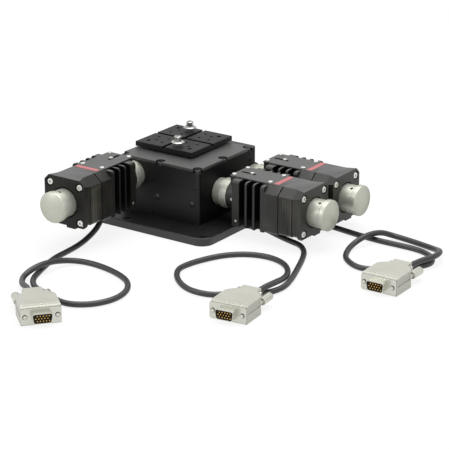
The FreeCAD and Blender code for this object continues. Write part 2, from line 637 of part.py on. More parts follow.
def clamp_bolts():
    seat = CLAMP_SPACER_H + CLAMP_WASHER_H
    length = seat + PLATFORM_THICKNESS - CLAMP_END_GAP
    bolt = cap_screw(CLAMP_HEAD_R, CLAMP_HEAD_H, TAPPED_R - FIT, length, CLAMP_SOCKET)
    return group([put(bolt, x, y, DECK + seat) for x, y in CLAMP_PLACES])


# Bell crank

def bell_crank():
    """Hub with a hanging arm that the lifting drive pushes and a fork that lifts the platform."""
    hub = rod(CRANK_HUB_R, CRANK_Y[0], CRANK_Y[1], Y_AXIS, (CRANK_X, CRANK_Z))
    half = CRANK_HALF_THICKNESS
    arm = box((CRANK_X - half, CRANK_X + half), (CRANK_Y[1] - CRANK_PUSH_WIDTH, CRANK_Y[1]),
              (Z_DRIVE_Z - SPINDLE_R, CRANK_Z))
    pieces = [arm]
    tip_x = CRANK_X - CRANK_ARM
    for side in (-1, 1):
        y = sorted((side * TINE_Y[0], side * TINE_Y[1]))
        pieces.append(box((tip_x - TINE_OVERHANG, CRANK_X), y, TINE_Z))
        bump_z = POST_COLLAR_Z[0] - SEAT - BUMP_R
        pieces.append(rod(BUMP_R, y[0], y[1], Y_AXIS, (tip_x, bump_z)))
    crank = hub.fuse(pieces)
    bore = rod(CRANK_PIN_R + FIT, CRANK_Y[0] - THROUGH, CRANK_Y[1] + THROUGH, Y_AXIS, (CRANK_X, CRANK_Z))
    return crank.cut(bore)


def crank_pin():
    return rod(CRANK_PIN_R, CAVITY_Y[0] - WALL / 2 + FIT, CAVITY_Y[1] + WALL / 2 - FIT, Y_AXIS,
               (CRANK_X, CRANK_Z))


# Drives, each built along +X from the body's face with its axis on X

def drive_section(inset=0.0, half_top=HALF_TOP, shoulder=SHOULDER_Z):
    """The drive's cross-section: flat top, sloped shoulders, chamfered foot."""
    side, low = HALF_WIDTH - inset, BOTTOM_Z + inset
    right = [(half_top - inset, TOP_Z - inset), (side, shoulder - inset), (side, low + BOTTOM_CHAMFER),
             (side - BOTTOM_CHAMFER, low)]
    return right + [(-y, z) for y, z in reversed(right)]


def cap_screw_places():
    return [(y, z) for y in (-CAP_SCREW_PITCH, CAP_SCREW_PITCH)
            for z in (-CAP_SCREW_PITCH, CAP_SCREW_PITCH)]


def lock_ring(reach):
    """Clamped collar between the body and the drive's nose, with its knurled ring."""
    inner = NOSE_TUBE_R + FIT
    ring_end = reach - DRIVE_LENGTH - SEAT
    collar_end = ring_end - LOCK_RING_WIDTH
    outline = [(-LOCK_TAIL, inner), (-LOCK_TAIL, LOCK_TAIL_R), (0, LOCK_TAIL_R), (0, LOCK_COLLAR_R),
               (collar_end, LOCK_COLLAR_R), (collar_end + LOCK_CHAMFER, LOCK_RING_R),
               (ring_end - LOCK_CHAMFER, LOCK_RING_R), (ring_end, LOCK_RING_R - LOCK_CHAMFER),
               (ring_end, inner)]
    return turned(outline)


def front_housing(reach):
    """Nose, flange, fins and motor seat milled from one block."""
    def station(a):
        return reach - a

    seat = prism(drive_section(), station(SEAT_PLATE), station(STACK_END))
    fin_bar = box((station(FLANGE_END), station(SEAT_PLATE)), (-HALF_WIDTH, HALF_WIDTH), (BOTTOM_Z, FIN_TOP))
    fin_bar = round_edges(fin_bar, FIN_ROUND, X_AXIS, lambda p: p.z > 0)
    for i in range(FIN_GAPS):
        start = FIN_START + i * (FIN_GAP + FIN_WIDTH)
        span = (station(start + FIN_GAP), station(start))
        ring = box(span, (-HALF_WIDTH - THROUGH, HALF_WIDTH + THROUGH),
                   (BOTTOM_Z - THROUGH, FIN_TOP + THROUGH))
        core = box(span, (-FIN_CORE, FIN_CORE), (-FIN_CORE, FIN_CORE))
        fin_bar = fin_bar.cut(ring.cut(core))
    nose_start = station(DRIVE_LENGTH)
    nose = rod(NOSE_R, nose_start, station(FLANGE_END))
    bridge = box((station(PLATE_END), station(PLATE_START)),
                 (BRIDGE_INSET - HALF_TOP, HALF_TOP - BRIDGE_INSET),
                 (FIN_CORE - BRIDGE_BITE, TOP_Z - PLATE_THICKNESS))
    tube = rod(NOSE_TUBE_R, -LOCK_TAIL, nose_start)
    housing = seat.fuse([fin_bar, nose, bridge, tube])
    top = TOP_Z + THROUGH
    plate_half = HALF_TOP + PLATE_CLEARANCE
    cuts = [box((station(PLATE_END) - THROUGH, station(PLATE_START)), (-plate_half, plate_half),
                (TOP_Z - PLATE_THICKNESS, top)),
            rod(SPINDLE_R + FIT, -LOCK_TAIL - THROUGH, station(STACK_END)),
            rod(BEARING_R + FIT, station(STACK_END + BEARING_WIDTH), station(STACK_END) + THROUGH),
            box((station(SLOT_END), station(SLOT_START)), (-SLOT_WIDTH / 2, SLOT_WIDTH / 2), (0, top))]
    cuts += [rod(M3_SHANK_R + FIT, station(STACK_END + CAP_SCREW_HOLE), station(STACK_END) + THROUGH, X_AXIS,
                 place) for place in cap_screw_places()]
    cuts += [rod(SMALL_SHANK_R + FIT, TOP_Z - PLATE_SCREW_HOLE, top, Z_AXIS, (station(a), y))
             for a, y in plate_screw_places()]
    for a, z, face in grub_places():
        floor = face - GRUB_SINK - GRUB_LENGTH
        for side in (-1, 1):
            span = sorted((side * floor, side * (face + THROUGH)))
            cuts.append(rod(GRUB_R + FIT, span[0], span[1], Y_AXIS, (station(a), z)))
    return housing.cut(group(cuts)).removeSplitter()


def plate_screw_places():
    """Station and lateral place of the four screws in the top plate."""
    return [(a, side * PLATE_SCREW_LATERAL) for a in PLATE_SCREW_STATIONS for side in (-1, 1)]


def top_plate(reach):
    plate = box((reach - PLATE_END, reach - PLATE_START), (-HALF_TOP, HALF_TOP),
                (TOP_Z - PLATE_THICKNESS, TOP_Z))
    top = TOP_Z + THROUGH
    cuts = [box((reach - SLOT_END, reach - SLOT_START), (-SLOT_WIDTH / 2, SLOT_WIDTH / 2), (0, top))]
    cuts += [rod(SMALL_SHANK_R + FIT, 0, top, Z_AXIS, (reach - a, y)) for a, y in plate_screw_places()]
    return plate.cut(group(cuts))


def motor_stack(reach):
    """Stator laminations between the cap and the seat."""
    stack = prism(drive_section(STACK_INSET), reach - STACK_END, reach - CAP_END)
    behind = reach - STACK_END - THROUGH
    cuts = [box((behind, reach), (-HALF_WIDTH, HALF_WIDTH), (CANOPY_Z - SLIDE, TOP_Z)),
            rod(STACK_BORE, behind, reach)]
    cuts += [rod(M3_SHANK_R + PLATE_CLEARANCE, behind, reach, X_AXIS, place) for place in cap_screw_places()]
    return stack.cut(group(cuts))


def rear_cap(reach):
    """End cap that widens to its face, with a lipped canopy over the laminations, recess and foot."""
    behind, front = reach - STACK_END - THROUGH, reach + THROUGH
    face = drive_section(0.0, CAP_HALF_TOP, CAP_SHOULDER_Z)
    block = tapered(drive_section(), face, reach - CAP_TAPER, reach)
    plate = block.common(box((reach - CAP_PLATE, reach), (-HALF_WIDTH, HALF_WIDTH), (BOTTOM_Z, TOP_Z)))
    waist = prism(drive_section(CAP_WAIST), reach - CAP_END, reach - CAP_PLATE)
    roof = prism(drive_section(), reach - STACK_END, reach - CAP_TAPER).fuse(block)
    roof = roof.common(box((behind, reach), (-HALF_WIDTH, HALF_WIDTH), (CANOPY_Z, TOP_Z)))
    foot_x = (reach - CAP_END, reach - SEAT)
    foot = box(foot_x, FOOT_Y, (BOTTOM_Z - FOOT_DROP, BOTTOM_Z + CAP_WAIST + SEAT))
    pieces = [waist, roof, foot]
    cuts = [rod(RECESS_R, reach - RECESS_DEPTH, front),
            rod(JOURNAL_R + JOURNAL_GAP, behind, front),
            rod(BEARING_R + FIT, reach - CAP_END - THROUGH, reach - CAP_END + BEARING_WIDTH)]
    for side in (-1, 1):
        lip = sorted((side * (HALF_WIDTH - LIP_PROUD), side * (HALF_WIDTH + LIP_PROUD)))
        pieces.append(box((reach - STACK_END, reach - CAP_TAPER), lip, (CANOPY_Z, CANOPY_Z + CANOPY_LIP)))
        seam = sorted((side * HALF_TOP, side * (HALF_WIDTH + THROUGH)))
        cuts.append(box((behind, reach - STACK_END + CANOPY_SEAM), seam,
                        (CANOPY_Z - THROUGH, TOP_Z + THROUGH)))
    for place in cap_screw_places():
        cuts.append(rod(M3_SHANK_R + FIT, behind, front, X_AXIS, place))
        cuts.append(rod(CAP_COUNTERBORE_R, reach - CAP_SCREW_DEPTH, front, X_AXIS, place))
    return plate.fuse(pieces).cut(group(cuts)).removeSplitter()


def bearing(outer_r, inner_r, start):
    outline = [(start, inner_r), (start, outer_r), (start + BEARING_WIDTH, outer_r),
               (start + BEARING_WIDTH, inner_r)]
    return turned(outline)


def front_bearing(reach):
    return bearing(BEARING_R, JOURNAL_R + FIT, reach - STACK_END - BEARING_WIDTH)


def rear_bearing(reach):
    return bearing(BEARING_R, JOURNAL_R + FIT, reach - CAP_END)


def rotor_screw(reach):
    """Rotor drum with its two journals and the lead screw in front of it."""
    def station(a):
        return reach - a

    drum_end, drum_start = STACK_END - ROTOR_GAP, CAP_END + ROTOR_GAP
    front_end = STACK_END + BEARING_WIDTH
    outline = [(station(LEAD_SCREW_END), 0), (station(LEAD_SCREW_END), LEAD_SCREW_R),
               (station(front_end), LEAD_SCREW_R), (station(front_end), JOURNAL_R),
               (station(drum_end), JOURNAL_R), (station(drum_end), ROTOR_R),
               (station(drum_start), ROTOR_R), (station(drum_start), JOURNAL_R),
               (station(KNOB_START), JOURNAL_R), (station(KNOB_START), 0)]
    return turned(outline)


def spindle(reach, tip):
    """Non-turning push rod with a domed tip, bored for the lead screw."""
    end = reach - SPINDLE_END
    body = rod(SPINDLE_R, tip, end)
    ball = Part.makeSphere(SPINDLE_DOME, Vector(tip + SPINDLE_DOME, 0, 0))
    keep = rod(SPINDLE_R, tip + SPINDLE_R, end).fuse(ball)
    depth = LEAD_SCREW_END - SPINDLE_END + TRAVEL + ROTOR_GAP
    cuts = [rod(LEAD_SCREW_R + FIT, end - depth, end + THROUGH),
            rod(GUIDE_PIN_R + FIT, LEAD_SCREW_R, SPINDLE_R + THROUGH, Z_AXIS, (reach - GUIDE_PIN_STATION, 0))]
    return body.common(keep).cut(group(cuts))


def guide_pin(reach):
    """Screwed pin that keeps the spindle from turning and shows its place in the slot."""
    x = reach - GUIDE_PIN_STATION
    seat = TOP_Z + SLIDE
    shank = rod(GUIDE_PIN_R, LEAD_SCREW_R + SEAT, seat + GUIDE_HEAD_H / 2, Z_AXIS, (x, 0))
    head = rod(GUIDE_HEAD_R, seat, seat + GUIDE_HEAD_H, Z_AXIS, (x, 0))
    return shank.fuse(head)


def knob(reach):
    """Hand knob: plain thimble, larger grip with a shallow dome, radial screw hole."""
    start = reach - KNOB_START
    grip = reach + KNOB_THIMBLE_LENGTH
    end = reach + KNOB_LENGTH
    line = KNOB_LINE
    outline = [(start, 0), (start, KNOB_THIMBLE_R - line), (start + line, KNOB_THIMBLE_R),
               (grip - line, KNOB_THIMBLE_R), (grip - line, KNOB_THIMBLE_R - line),
               (grip, KNOB_THIMBLE_R - line), (grip, KNOB_GRIP_R - line), (grip + line, KNOB_GRIP_R),
               (end - KNOB_DOME, KNOB_GRIP_R), (end - KNOB_DOME / 3, KNOB_GRIP_R - KNOB_DOME),
               (end, KNOB_GRIP_R - 3 * KNOB_DOME), (end, 0)]
    body = turned(outline)
    hole = rod(KNOB_HOLE_R, KNOB_THIMBLE_R - KNOB_HOLE_DEPTH, KNOB_THIMBLE_R + THROUGH, Z_AXIS,
               (reach + KNOB_THIMBLE_LENGTH / 2, 0))
    return body.cut(put(hole, 0, 0, 0, X_AXIS, KNOB_HOLE_TURN))


def grub_places():
    """Station, height and outer face of the set screws on both sides of flange and nose."""
    return ((FLANGE_END - FLANGE_WIDTH / 2, FLANGE_GRUB_Z, HALF_WIDTH),
            (FLANGE_END + NOSE_LENGTH / 2, 0.0, NOSE_R))


def drive_screws(reach):
    """Long cap screws in the rear cap, small ones in the top plate, set screws in the sides."""
    seat = reach - CAP_SCREW_DEPTH
    long_screw = m3_screw(seat - (reach - STACK_END) + CAP_SCREW_GRIP)
    screws = [put(long_screw, seat, y, z, Y_AXIS, 90) for y, z in cap_screw_places()]
    small = cap_screw(SMALL_HEAD_R, SMALL_HEAD_H, SMALL_SHANK_R, PLATE_SCREW_LENGTH, SMALL_SOCKET)
    screws += [put(small, reach - a, y, TOP_Z) for a, y in plate_screw_places()]
    grub = cap_screw(GRUB_R, GRUB_LENGTH / 2, GRUB_R, GRUB_LENGTH / 2, GRUB_SOCKET)
    for a, z, face in grub_places():
        reached = face - GRUB_SINK - GRUB_LENGTH / 2
        screws += [put(grub, reach - a, side * reached, z, X_AXIS, -90 * side) for side in (-1, 1)]
    return group(screws)


def cable_gland(reach):
    """Rounded cable outlet block under the flange."""
    end = reach - FLANGE_END + GLAND_LENGTH
    start = reach - FLANGE_END
    centre = BOTTOM_Z - GLAND_R
    return rod(GLAND_R, start, end, X_AXIS, (0, centre)).fuse(
        box((start, end), (-GLAND_R, GLAND_R), (centre, BOTTOM_Z))).removeSplitter()


DRIVES = {
    "x_drive": (Vector(BODY_X1, X_DRIVE_Y, X_DRIVE_Z), 0, X_DRIVE_GAP + DRIVE_LENGTH),
    "y_drive": (Vector(Y_DRIVE_X, BODY_Y0, Y_DRIVE_Z), -90, Y_DRIVE_GAP + DRIVE_LENGTH),
    "z_drive": (Vector(BODY_X1, Z_DRIVE_Y, Z_DRIVE_Z), 0, Z_DRIVE_GAP + DRIVE_LENGTH),
}
# Where each spindle's tip touches what it pushes, from the body's face
SPINDLE_TIPS = {
    "x_drive": X_LUG_X[1] + SEAT - BODY_X1,
    "y_drive": BODY_Y0 - (Y_LUG_Y[0] - SEAT),
    "z_drive": CRANK_X + CRANK_HALF_THICKNESS + SEAT - BODY_X1,
}


def in_drive(name, shape):
    """Carry a piece from a drive's own axes to its place on the stage."""
    place, turn, _ = DRIVES[name]
    return put(shape, place.x, place.y, place.z, Z_AXIS, turn)


# Cables

def cable(name, ends):
    """A tube along straight runs joined by tangent arcs, cut square to the pieces at its ends."""
    points = [Vector(*p) for p in CABLE_ROUTES[name]]
    edges, radii = [], []
    start = points[0]
    for before, corner, after in zip(points, points[1:], points[2:]):
        back, ahead = before - corner, after - corner
        reach = BEND_SHARE * min(back.Length, ahead.Length)
        back.normalize()
        ahead.normalize()
        half_turn = (math.pi - back.getAngle(ahead)) / 2
        radius = reach / math.tan(half_turn)
        radii.append(radius)
        arc_start, arc_end = corner + back * reach, corner + ahead * reach
        inward = (back + ahead).normalize()
        middle = corner + inward * (radius / math.cos(half_turn) - radius)
        edges.append(Part.LineSegment(start, arc_start).toShape())
        edges.append(Part.Arc(arc_start, middle, arc_end).toShape())
        start = arc_end
    edges.append(Part.LineSegment(start, points[-1]).toShape())
    length = sum(e.Length for e in edges)
    ring = Part.Wire(Part.Circle(points[0], points[1] - points[0], CABLE_R).toShape())
    tube = Part.Wire(edges).makePipeShell([ring], True, False)
    expected = math.pi * CABLE_R ** 2 * length
    print(name, "cable length %.0f mm, tightest bend %.1f mm, volume %.4f of section x length"
          % (length, min(radii), tube.Volume / expected))
    print("  radii", " ".join("%.0f" % r for r in radii))
    return tube.cut(group(ends))


# Connectors, each built with its flange's front on the XZ plane and its back towards +Y

def d_outline(half_top, half_bottom, half_height, corner, start, end):
    """A D-shaped bar, wide side up, around the connector's middle height."""
    middle = HOOD_HEIGHT / 2
    corners = [Vector(-half_top, start, middle + half_height), Vector(half_top, start, middle + half_height),
               Vector(half_bottom, start, middle - half_height),
               Vector(-half_bottom, start, middle - half_height)]
    bar = Part.Face(Part.makePolygon(corners + corners[:1])).extrude(Vector(0, end - start, 0))
    return round_edges(bar, corner, Y_AXIS)


def jack_places():
    return [(-JACK_HALF_SPACING, HOOD_HEIGHT / 2), (JACK_HALF_SPACING, HOOD_HEIGHT / 2)]


def connector_shell():
    """Stamped steel flange with the D-shaped shroud."""
    middle = HOOD_HEIGHT / 2
    flange = box((-HOOD_HALF_WIDTH, HOOD_HALF_WIDTH), (0, FLANGE_THICK),
                 (middle - FLANGE_HEIGHT / 2, middle + FLANGE_HEIGHT / 2))
    flange = round_edges(flange, FLANGE_CORNER, Y_AXIS)
    wall = SHELL_WALL
    shroud = d_outline(SHELL_TOP_HALF, SHELL_BOTTOM_HALF, SHELL_HALF_HEIGHT, SHELL_CORNER + wall,
                       -SHELL_REACH, 0)
    hollow = d_outline(SHELL_TOP_HALF - wall, SHELL_BOTTOM_HALF - wall, SHELL_HALF_HEIGHT - wall,
                       SHELL_CORNER, -SHELL_REACH - THROUGH, FLANGE_THICK + THROUGH)
    cuts = [hollow] + [rod(JACK_R + JACK_HOLE_GAP, -THROUGH, FLANGE_THICK + THROUGH, Y_AXIS, place)
                       for place in jack_places()]
    return flange.fuse(shroud).cut(group(cuts))


def connector_insert():
    """Black insulator inside the shroud."""
    gap = SHELL_WALL + SLIDE
    front = d_outline(SHELL_TOP_HALF - gap, SHELL_BOTTOM_HALF - gap, SHELL_HALF_HEIGHT - gap,
                      SHELL_CORNER, -INSERT_REACH, HOOD_FRONT)
    holes = [rod(CONTACT_R, -SHELL_REACH, HOOD_FRONT + THROUGH, Y_AXIS, place)
             for place in contact_places()]
    return front.cut(group(holes))


def contact_places():
    """Three rows of five contacts, the middle row half a pitch aside."""
    middle = HOOD_HEIGHT / 2
    places = []
    for row in (-1, 0, 1):
        aside = -PIN_PITCH / 4 if row == 0 else PIN_PITCH / 4
        places += [((i - PINS_IN_ROW // 2) * PIN_PITCH + aside, middle + row * PIN_ROW)
                   for i in range(PINS_IN_ROW)]
    return places


def contact_pins():
    return [rod(CONTACT_R, SEAT - SHELL_REACH, HOOD_FRONT - SLIDE, Y_AXIS, place)
            for place in contact_places()]


def hood():
    """Die-cast hood: straight sides, drawn-in shoulders and a neck round the cable."""
    width, neck = HOOD_HALF_WIDTH, HOOD_NECK_HALF
    right = [(width, HOOD_FRONT), (width, HOOD_SHOULDER), (neck, HOOD_NECK_START), (neck, HOOD_END)]
    outline = right + [(-x, y) for x, y in reversed(right)]
    corners = [Vector(x, y, 0) for x, y in outline]
    body = Part.Face(Part.makePolygon(corners + corners[:1])).extrude(Vector(0, 0, HOOD_HEIGHT))
    front, end = HOOD_FRONT + THROUGH, HOOD_END - THROUGH
    body = round_edges(body, HOOD_SHOULDER_ROUND, Z_AXIS, lambda p: front < p.y < end)
    body = round_edges(body, HOOD_END_ROUND, Z_AXIS, lambda p: p.y > end)
    top_rim = [e for e in body.Edges
               if e.BoundBox.ZMin > HOOD_HEIGHT - NEAR and e.CenterOfMass.y > front]
    body = body.makeFillet(HOOD_RIM_ROUND, top_rim)
    inside = width - HOOD_WALL
    throat = box((-inside, inside), (FLANGE_THICK, HOOD_FRONT), (HOOD_WALL, HOOD_HEIGHT - HOOD_WALL))
    body = body.fuse(throat)
    cuts = [box((-width - THROUGH, width + THROUGH), (y, y + HOOD_RIB_WIDTH),
                (HOOD_HEIGHT - HOOD_RIB_DEPTH, HOOD_HEIGHT + THROUGH)) for y in HOOD_RIB_STATIONS]
    middle = HOOD_HEIGHT / 2
    for side in (-1, 1):
        x = sorted((side * (width - HOOD_SEAM_DEPTH), side * (width + THROUGH)))
        cuts.append(box(x, (HOOD_FRONT + THROUGH, HOOD_SHOULDER - HOOD_SHOULDER_ROUND / 2),
                        (HOOD_SEAM_Z, HOOD_SEAM_Z + HOOD_SEAM_WIDTH)))
        jack = (side * JACK_HALF_SPACING, middle)
        cuts.append(rod(JACK_R + FIT, 0, HOOD_END, Y_AXIS, jack))
        cuts.append(rod(THUMB_R + SEAT, THUMB_START - SEAT, HOOD_END, Y_AXIS, jack))
    gap = SHELL_WALL
    cuts.append(d_outline(SHELL_TOP_HALF - gap, SHELL_BOTTOM_HALF - gap, SHELL_HALF_HEIGHT - gap,
                          SHELL_CORNER, FLANGE_THICK - SLIDE, HOOD_FRONT))
    return body.cut(group(cuts)).removeSplitter()


def clamp_screw():
    """Slotted screw beside the cable's exit, seated on the neck's right side."""
    y, z = HOOD_END - CLAMP_SCREW_R - THROUGH, HOOD_HEIGHT / 2 + CLAMP_SCREW_RISE
    head = Part.makeCylinder(CLAMP_SCREW_R, CLAMP_SCREW_H, Vector(HOOD_NECK_HALF, y, z), X_AXIS)
    half = CLAMP_SCREW_SLOT / 2
    slot = box((HOOD_NECK_HALF + CLAMP_SCREW_H / 2, HOOD_NECK_HALF + CLAMP_SCREW_H + THROUGH),
               (y - half, y + half), (0, HOOD_HEIGHT))
    return head.cut(slot)


def thumbscrew(side):
    """Captive screw with a grooved head behind the hood's shoulder."""
    seam = HOOD_HEIGHT / 2
    head = rod(THUMB_R, THUMB_START, THUMB_END, Y_AXIS, (0, 0))
    rims = [e for e in head.Edges if e.BoundBox.YLength < NEAR]
    head = head.makeChamfer(THUMB_CHAMFER, rims)
    grooves = []
    for i in range(THUMB_GROOVES):
        angle = 2 * math.pi * i / THUMB_GROOVES
        grooves.append(rod(THUMB_GROOVE_R, THUMB_START + 2 * THUMB_CHAMFER, THUMB_END - 2 * THUMB_CHAMFER,
                           Y_AXIS, (THUMB_R * math.cos(angle), THUMB_R * math.sin(angle))))
    shank = rod(JACK_R, -JACK_TIP, THUMB_START + THROUGH, Y_AXIS, (0, 0))
    return put(head.cut(group(grooves)).fuse(shank), side * JACK_HALF_SPACING, 0, seam)


def in_connector(name, shape):
    x, y, turn = CONNECTORS[name]
    return put(shape, x, y, 0, Z_AXIS, math.degrees(turn))


def save(name, shape):
    shape.exportStep("parts/%s.step" % name)
    print("%-28s solids %2d volume %.0f valid %s" % (name, len(shape.Solids), shape.Volume, shape.isValid()))


def build_stage():
    save("base_plate", base_plate())
    save("stage_body", body_housing())
    save("top_cover", top_cover())
    save("stage_screws", stage_screws())
    save("access_panel", access_panel())
    save("access_panel_screws", access_panel_screws())
    save("x_rails", x_rails())
    save("x_carriage", x_carriage())
    save("y_rails", y_rails())
    save("y_carriage", y_carriage())
    save("platform_post", platform_post())
    save("moving_platform", moving_platform())
    save("clamp_washers", clamp_washers())
    save("clamp_bolts", clamp_bolts())
    save("bell_crank", bell_crank())
    save("crank_pin", crank_pin())


def build_drives():
    shared = {"lock_rings": lock_ring, "front_bearings": front_bearing, "rear_bearings": rear_bearing,
              "cable_glands": cable_gland}
    for node, make in shared.items():
        save(node, group([in_drive(name, make(DRIVES[name][2])) for name in DRIVES]))
    save("drive_screws", group([s for name in DRIVES
                                for s in in_drive(name, drive_screws(DRIVES[name][2])).Solids]))
    own = {"front_housing": front_housing, "top_plate": top_plate, "motor_stack": motor_stack,
           "rear_cap": rear_cap, "rotor_screw": rotor_screw, "guide_pin": guide_pin, "knob": knob}
    for name, (_, _, reach) in DRIVES.items():
        for piece, make in own.items():
            save("%s_%s" % (name, piece), in_drive(name, make(reach)))
        save("%s_spindle" % name, in_drive(name, spindle(reach, SPINDLE_TIPS[name])))
        ends = [in_drive(name, cable_gland(reach)), in_connector(name, hood())]
        save("%s_cable" % name, cable(name, ends))


def build_connectors():
    for node, make in (("connector_shells", connector_shell), ("connector_inserts", connector_insert),
                       ("connector_hoods", hood), ("hood_clamp_screws", clamp_screw)):
        save(node, group([in_connector(name, make()) for name in CONNECTORS]))
    save("contact_pins", group([in_connector(name, pin) for name in CONNECTORS for pin in contact_pins()]))
    for name in CONNECTORS:
        for side, word in ((-1, "left"), (1, "right")):
            save("%s_thumbscrew_%s" % (name, word), in_connector(name, thumbscrew(side)))


os.makedirs("parts", exist_ok=True)
build_stage()
build_drives()
build_connectors()
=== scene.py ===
"""Looks of a three-axis positioning stage with stepper drives, cables and D-shaped plugs."""

import logging
import math
from dataclasses import dataclass, field
from enum import Enum
from typing import Any, Callable, Dict, List, Optional, Sequence, Tuple

import bpy
from mathutils import Matrix, Vector


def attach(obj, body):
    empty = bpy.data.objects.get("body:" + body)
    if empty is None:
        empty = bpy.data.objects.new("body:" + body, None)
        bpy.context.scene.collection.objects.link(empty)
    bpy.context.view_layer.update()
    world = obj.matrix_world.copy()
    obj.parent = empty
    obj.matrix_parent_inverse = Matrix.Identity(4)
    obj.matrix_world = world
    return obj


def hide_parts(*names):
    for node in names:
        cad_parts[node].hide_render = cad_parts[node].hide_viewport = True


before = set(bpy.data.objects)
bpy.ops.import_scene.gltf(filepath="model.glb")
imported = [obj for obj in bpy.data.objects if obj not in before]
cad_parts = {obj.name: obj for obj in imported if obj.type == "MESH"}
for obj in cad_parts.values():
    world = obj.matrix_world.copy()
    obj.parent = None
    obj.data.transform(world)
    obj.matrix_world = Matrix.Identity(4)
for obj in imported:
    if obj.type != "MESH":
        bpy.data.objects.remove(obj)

LOG = logging.getLogger("stage_looks")
MM = 0.001
WELD = 1e-6           # metres within which points of a drawn piece are one
CAD_WELD = 2e-6       # the same for the triangles of a CAD node
FLAT_DEGREES = 0.5    # faces that turn less than this are one flat face
SMOOTH_DEGREES = 32   # edges that turn less than this are shaded smooth
CLOUD_SCALE = 45.0    # how fine the soft clouds in a finish are, per metre
FACING = 0.9          # a face looks along an axis from this share of its direction on
Point = Tuple[float, float, float]
Section = Tuple[float, float, float, float]


class Side(Enum):
    """Which of a connector's two captive screws is meant."""

    LEFT = -1
    RIGHT = 1


# Finishes


def hex_colour(code: str) -> Tuple[float, float, float, float]:
    """Turn an sRGB hex colour into linear values.

    Args:
        code: six hex digits, with or without a leading hash.

    Returns:
        Linear red, green, blue and an alpha of one.
    """
    digits = code.lstrip("#")
    linear = []
    for place in (0, 2, 4):
        value = int(digits[place:place + 2], 16) / 255
        linear.append(value / 12.92 if value <= 0.04045 else ((value + 0.055) / 1.055) ** 2.4)
    return (linear[0], linear[1], linear[2], 1.0)


def add_node(tree: Any, kind: str, settings: Optional[Dict[str, Any]] = None,
             inputs: Optional[Dict[Any, Any]] = None) -> Any:
    """Add a shader node, set its options and fill or link its sockets.

    Args:
        tree: the node tree to add to.
        kind: Blender's name of the node type.
        settings: node properties by name.
        inputs: socket name or number to a plain value or an output socket to link from.

    Returns:
        The new node.
    """
    node = tree.nodes.new(kind)
    for name, value in (settings or {}).items():
        setattr(node, name, value)
    for name, value in (inputs or {}).items():
        if isinstance(value, bpy.types.NodeSocket):
            tree.links.new(value, node.inputs[name])
        else:
            node.inputs[name].default_value = value
    return node


@dataclass(frozen=True)
class Finish:
    """A surface finish with a fine grain that varies its colour, gloss and relief.

    The grain is a noise on Object coordinates. Stretch makes it run in one direction,
    as brushing and lamination edges do. Edge is the tint of what a metal mirrors at its rims.
    """

    name: str
    colour: str
    second_colour: str
    roughness: float
    roughness_spread: float = 0.06
    metallic: float = 0.0
    specular: float = 0.5
    grain_mm: float = 0.4
    stretch: Point = (1.0, 1.0, 1.0)
    relief: float = 0.12
    relief_mm: float = 0.02
    contrast: float = 0.5
    coat: float = 0.0
    edge: str = "#ffffff"

    def build(self) -> bpy.types.Material:
        """Make the material.

        Returns:
            A node material named after the finish.
        """
        material = bpy.data.materials.new(self.name)
        material.use_nodes = True
        tree = material.node_tree
        tree.nodes.clear()
        shader = add_node(tree, "ShaderNodeBsdfPrincipled", inputs={
            "Metallic": self.metallic, "Specular IOR Level": self.specular, "Coat Weight": self.coat,
            "Specular Tint": hex_colour(self.edge)})
        coords = add_node(tree, "ShaderNodeTexCoord")
        scale = 1.0 / (self.grain_mm * MM)
        mapping = add_node(tree, "ShaderNodeMapping", inputs={
            "Vector": coords.outputs["Object"],
            "Scale": (scale * self.stretch[0], scale * self.stretch[1], scale * self.stretch[2])})
        grain = add_node(tree, "ShaderNodeTexNoise", inputs={
            "Vector": mapping.outputs[0], "Scale": 1.0, "Detail": 3.0, "Roughness": 0.6})
        cloud = add_node(tree, "ShaderNodeTexNoise", inputs={
            "Vector": coords.outputs["Object"], "Scale": CLOUD_SCALE, "Detail": 2.0, "Roughness": 0.5})
        blend = add_node(tree, "ShaderNodeMath", {"operation": "ADD"}, {
            0: grain.outputs[0], 1: cloud.outputs[0]})
        shade = add_node(tree, "ShaderNodeMapRange", inputs={
            "Value": blend.outputs[0], "From Min": 1.0 - self.contrast, "From Max": 1.0 + self.contrast})
        tint = add_node(tree, "ShaderNodeMix", {"data_type": "RGBA"}, {
            "Factor": shade.outputs[0], 6: hex_colour(self.colour), 7: hex_colour(self.second_colour)})
        gloss = add_node(tree, "ShaderNodeMapRange", inputs={
            "Value": blend.outputs[0], "From Min": 0.6, "From Max": 1.4,
            "To Min": self.roughness - self.roughness_spread,
            "To Max": self.roughness + self.roughness_spread})
        bump = add_node(tree, "ShaderNodeBump", inputs={
            "Strength": self.relief, "Distance": self.relief_mm * MM, "Height": grain.outputs[0]})
        tree.links.new(tint.outputs[2], shader.inputs["Base Color"])
        tree.links.new(gloss.outputs[0], shader.inputs["Roughness"])
        tree.links.new(bump.outputs[0], shader.inputs["Normal"])
        out = add_node(tree, "ShaderNodeOutputMaterial")
        tree.links.new(shader.outputs[0], out.inputs[0])
        return material


